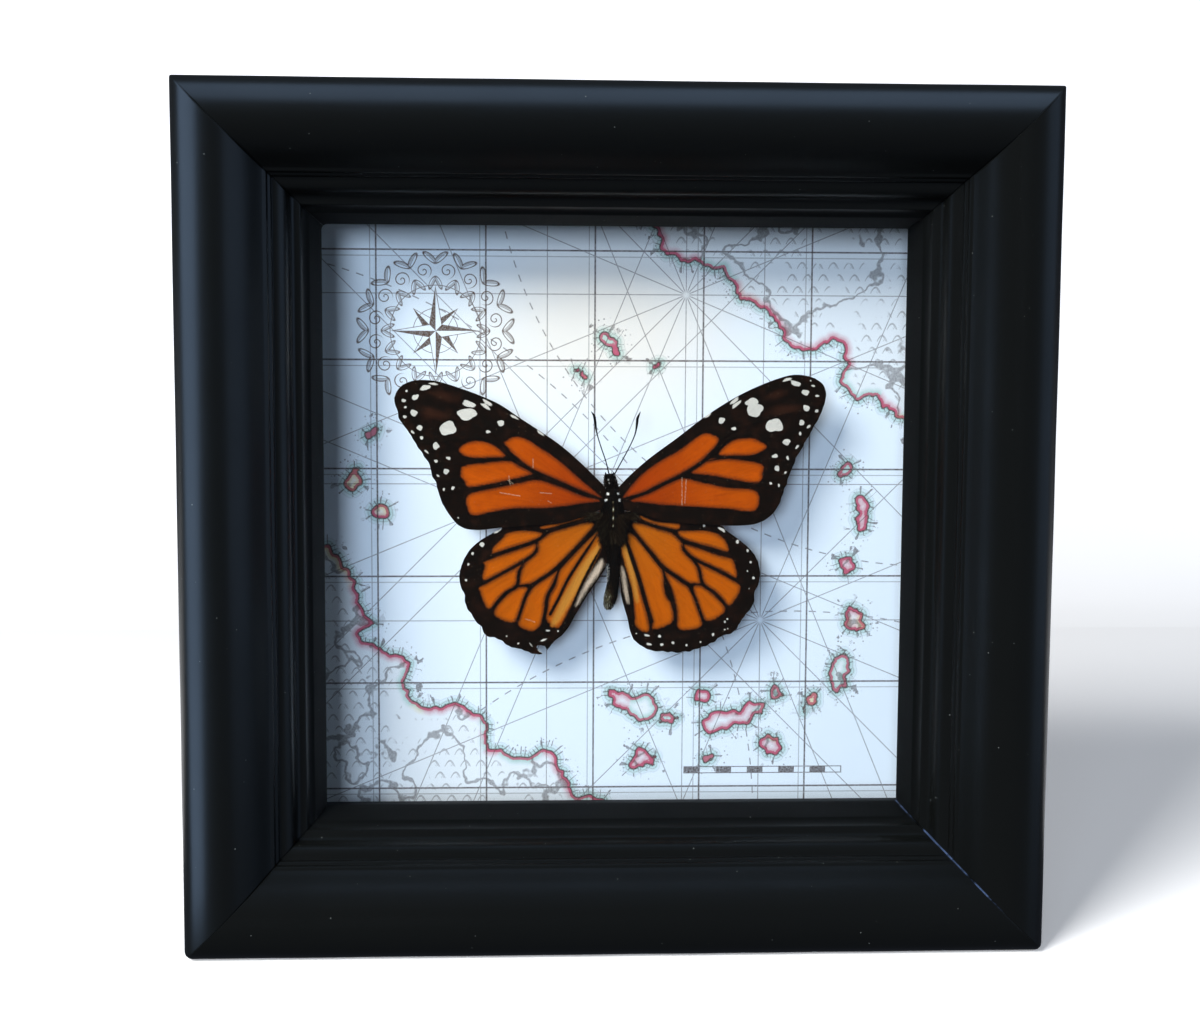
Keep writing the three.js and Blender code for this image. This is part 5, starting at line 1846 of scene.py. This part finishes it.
def eye_facets(look):
    """Dark glossy eyes covered in tiny facets."""
    eye = Finish("eye_facets")
    facet = eye.cells(eye.place(), 9.0)
    base = eye.mix(facet, toned(look.skin, 0.6), look.fuzz)
    return eye.surface(Base_Color=base, Roughness=0.18 + facet * 0.2, Normal=eye.bump(1 - facet, 0.03))


def cork(look):
    """Pressed cork: granules of several browns with dark seams."""
    block = Finish("pressed_cork")
    place = block.place()
    granule = block.cells(place, 1.1, output="Color")
    seam = block.cells(place, 1.1).ramp(0.35, 0.7)
    shade, _, _ = block.axes(granule)
    base = block.mix(shade, toned(look.cork, 0.6), toned(look.cork, 1.2))
    base = block.mix(seam * 0.5, base, toned(look.cork, 0.25))
    return block.surface(Base_Color=base, Roughness=0.85 + shade * 0.1, Normal=block.bump(1 - seam, 0.08))


class SPECIMEN_OT_body(bpy.types.Operator):
    """Loft the thorax, abdomen and head, with their hair, and the block that holds them"""

    bl_idname = "specimen.body"
    bl_label = "Body"

    def execute(self, context):
        settings = context.scene.specimen
        look = settings.body
        coat = body_hair(look)
        for name, shape in (("thorax", thorax_shape), ("abdomen", abdomen_shape), ("head", head_shape)):
            add_piece(f"hairy_{name}", shape(look).moved(MIDDLE), coat, "body_fur", name, crease=80)
        add_piece("wing_root_tufts", tuft_shape().moved(MIDDLE), coat, "body_fur", crease=80)
        add_piece("eyes", eyes_shape().moved(MIDDLE), eye_facets(look), "body_fur")
        block = plate(*node_box("mounting_block"), corner=0.4, arris=0.3)
        add_piece("cork_block", block, cork(settings.back), "cork", "mounting_block")
        return {"FINISHED"}


FEELERS = {
    "left": ((-0.7, 7.6), (-1.4, 10.4), (-2.5, 13.6), (-3.3, 16.3), (-3.7, 18.8), (-3.9, 19.9), (-4.5, 20.9)),
    "right": ((0.4, 7.5), (2.0, 10.4), (3.7, 13.6), (4.8, 16.2), (5.2, 18.6), (5.3, 19.5), (5.9, 20.9)),
}
FEELER_RADII = (0.14, 0.12, 0.12, 0.12, 0.12, 0.12, 0.12, 0.13, 0.17, 0.27, 0.28, 0.06)
FEELER_SIDES = 12
FEELER_RINGS = 150
FEELER_FRONT = -0.1


class SPECIMEN_OT_feelers(bpy.types.Operator):
    """Draw the two clubbed feelers along their routes"""

    bl_idname = "specimen.feelers"
    bl_label = "Feelers"

    def execute(self, context):
        coat = body_hair(context.scene.specimen.body)
        for side, route in FEELERS.items():
            places = [(x, FEELER_FRONT, z) for x, z in route]
            shape = rod(places, FEELER_RADII, FEELER_SIDES, FEELER_RINGS)
            add_piece(f"{side}_feeler", shape.moved(MIDDLE), coat, "body_fur", f"{side}_antenna")
        return {"FINISHED"}


# Stage: floor, light and camera

CAMERA_PLACE = (-19.91, -358.36, 120.78)
CAMERA_TURN = math.radians(2.68)
CAMERA_RISE = math.radians(-5.34)
CAMERA_ROLL = math.radians(0.28)
FLOOR_WIDE = 6000.0
FLOOR_NEAR = -2600.0
FLOOR_SPLIT = 40.0
FLOOR_BEND = 500.0
FLOOR_BACK = 900.0
FLOOR_TOP = 2200.0
FLOOR_STEPS = 9
BEND_STEPS = 24
KEY_PLACE = (-850.0, -1050.0, 937.0)
KEY_SIZE = 600.0
FILL_PLACE = (-480.0, -2000.0, 300.0)
FILL_SIZE = 650.0
SKY_PLACE = (-100.0, -420.0, 1450.0)
SKY_SIZE = 1500.0
WALL_PLACE = (1300.0, -620.0, 300.0)
WALL_SIZE = 1200.0
LEFT_CARD = (-110.0, -50.0, 95.0)
TOP_CARD = (0.0, -46.0, 194.0)
CARD_DEEP = 40.0
CARD_LONG = 200.0
STRIP_DEEP = 12.0
# Each near card's place, width, height, share of the largest one's power and the rail that it shines on
NEAR_CARDS = (
    (LEFT_CARD, CARD_DEEP, CARD_LONG, 1.0, "left_rail"),
    (TOP_CARD, CARD_LONG, CARD_DEEP, 0.6, "top_rail"),
    (LEFT_CARD, STRIP_DEEP, CARD_LONG, 0.2, "right_rail"),
    (TOP_CARD, CARD_LONG, STRIP_DEEP, 0.16, "bottom_rail"),
)
AIM = (0.0, 0.0, HALF_SIDE)
CLIP_START = 10.0


def cove(far):
    """Profile of a floor that bends up into a wall at a distance: a quarter circle and a line."""
    angle = np.linspace(0, math.pi / 2, BEND_STEPS)
    start = far - math.copysign(FLOOR_BEND, far)
    bend = np.stack([start + (far - start) * np.sin(angle), FLOOR_BEND * (1 - np.cos(angle))], axis=1)
    return np.concatenate([bend, [(far, FLOOR_TOP)]])


def sweep(profile):
    """A profile of places along Y and Z carried along X."""
    x = np.linspace(-FLOOR_WIDE, FLOOR_WIDE, FLOOR_STEPS)
    points = np.stack(np.broadcast_arrays(x[None], profile[:, 0:1], profile[:, 1:2]), axis=-1)
    return points.reshape(-1, 3), grid_faces(len(profile), len(x))


def area_light(name, place, size, power, tint=(1.0, 1.0, 1.0), other_size=None):
    """A square or oblong light, sides in millimetres and power in watts, turned to the frame's middle."""
    light = bpy.data.lights.new(name, "AREA")
    light.shape = "RECTANGLE"
    light.size = size * MM
    light.size_y = (other_size or size) * MM
    light.energy = power
    light.color = tint
    lamp = bpy.data.objects.new(name, light)
    lamp.location = Vector(place) * MM
    lamp.rotation_euler = (Vector(AIM) - Vector(place)).to_track_quat("-Z", "Y").to_euler()
    bpy.context.scene.collection.objects.link(lamp)
    return lamp


def near_card(place, wide, high, power, tint, rail):
    """A card close to the frame, which shines on one rail alone and isn't seen itself."""
    card = area_light(f"{rail}_card", place, wide, power, tint, high)
    card.visible_camera = False
    card.visible_diffuse = False
    lit = bpy.data.collections.new(f"{rail}_lit")
    lit.objects.link(bpy.data.objects[f"{rail}_moulding"])
    card.light_linking.receiver_collection = lit


def camera_matrix():
    """The camera's axes from its turn, rise and roll, and its place."""
    rise, turn, roll = CAMERA_RISE, CAMERA_TURN, CAMERA_ROLL
    forward = Vector((math.sin(turn) * math.cos(rise), math.cos(turn) * math.cos(rise), math.sin(rise)))
    level = Vector((math.cos(turn), -math.sin(turn), 0))
    upright = level.cross(forward)
    right = math.cos(roll) * level + math.sin(roll) * upright
    up = math.cos(roll) * upright - math.sin(roll) * level
    matrix = Matrix((right, up, -forward)).transposed().to_4x4()
    matrix.translation = Vector(CAMERA_PLACE) * MM
    return matrix


class SPECIMEN_OT_stage(bpy.types.Operator):
    """Lay the floor, hang the lights and set the camera"""

    bl_idname = "specimen.stage"
    bl_label = "Stage"

    def execute(self, context):
        scene = context.scene
        look = scene.specimen.stage
        scene.view_settings.view_transform = "Standard"
        paper = Finish("floor_paper")
        grain = paper.noise(paper.place(), 0.02, detail=3)
        tone = paper.mix(grain, look.floor, toned(look.floor, 0.97))
        paper.surface(Base_Color=tone, Roughness=0.9, Emission_Color=look.floor, Emission_Strength=0.3)
        front, back = cove(FLOOR_NEAR), cove(FLOOR_BACK)
        split = [(FLOOR_SPLIT, 0.0)]
        parts = {"floor": np.concatenate([split, front]), "floor_behind": np.concatenate([split, back[:1]])}
        for name, profile in {**parts, "backdrop": back}.items():
            points, faces = sweep(profile)
            mesh = bpy.data.meshes.new(name)
            mesh.from_pydata((points * MM).tolist(), [], faces.tolist())
            mesh.shade_smooth()
            mesh.materials.append(paper.material)
            floor = bpy.data.objects.new(name, mesh)
            floor.visible_glossy = name == "floor_behind"
            floor.visible_diffuse = name == "floor_behind"
            scene.collection.objects.link(floor)
        area_light("key", KEY_PLACE, KEY_SIZE, look.key).visible_glossy = False
        area_light("fill", FILL_PLACE, FILL_SIZE, look.fill, look.fill_tint).visible_glossy = False
        area_light("sky", SKY_PLACE, SKY_SIZE, look.sky, look.sky_tint)
        area_light("wall", WALL_PLACE, WALL_SIZE, look.wall, look.sky_tint)
        for place, wide, high, share, rail in NEAR_CARDS:
            near_card(place, wide, high, share * look.card, look.sky_tint, rail)
        room = bpy.data.worlds.new("room")
        room.use_nodes = True
        back = room.node_tree.nodes["Background"]
        back.inputs["Color"].default_value = (*look.room_tint, 1.0)
        back.inputs["Strength"].default_value = look.room
        scene.world = room
        lens = bpy.data.cameras.new("camera")
        lens.lens = look.lens
        lens.clip_start = CLIP_START * MM
        camera = bpy.data.objects.new("camera", lens)
        camera.matrix_world = camera_matrix()
        scene.collection.objects.link(camera)
        scene.camera = camera
        return {"FINISHED"}


OPERATORS = (
    SPECIMEN_OT_rails, SPECIMEN_OT_pane, SPECIMEN_OT_liners, SPECIMEN_OT_chart, SPECIMEN_OT_backing,
    SPECIMEN_OT_hanger, SPECIMEN_OT_forewings, SPECIMEN_OT_hindwings, SPECIMEN_OT_body, SPECIMEN_OT_feelers,
    SPECIMEN_OT_stage,
)


class SPECIMEN_PT_panel(bpy.types.Panel):
    """Lists the pieces of the framed butterfly and their settings"""

    bl_label = "Framed butterfly"
    bl_idname = "SPECIMEN_PT_panel"
    bl_space_type = "VIEW_3D"
    bl_region_type = "UI"
    bl_category = "Specimen"

    def draw(self, context):
        for operator in OPERATORS:
            self.layout.operator(operator.bl_idname)
        settings = context.scene.specimen
        for group in settings.__annotations__:
            box = self.layout.box()
            box.label(text=group.capitalize())
            for name in getattr(settings, group).__annotations__:
                box.prop(getattr(settings, group), name)


CLASSES = (
    PaintSettings, ChartSettings, WingSettings, BodySettings, BackSettings, StageSettings, SpecimenSettings,
    *OPERATORS, SPECIMEN_PT_panel,
)


def register():
    """Registers every class and hangs the settings on the scene."""
    for cls in CLASSES:
        bpy.utils.register_class(cls)
    bpy.types.Scene.specimen = PointerProperty(type=SpecimenSettings)


def unregister():
    """Takes the settings and every class away again."""
    del bpy.types.Scene.specimen
    for cls in reversed(CLASSES):
        bpy.utils.unregister_class(cls)


def main():
    register()
    for operator in OPERATORS:
        group, name = operator.bl_idname.split(".")
        getattr(getattr(bpy.ops, group), name)()
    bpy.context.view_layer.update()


if __name__ == "__main__":
    main()
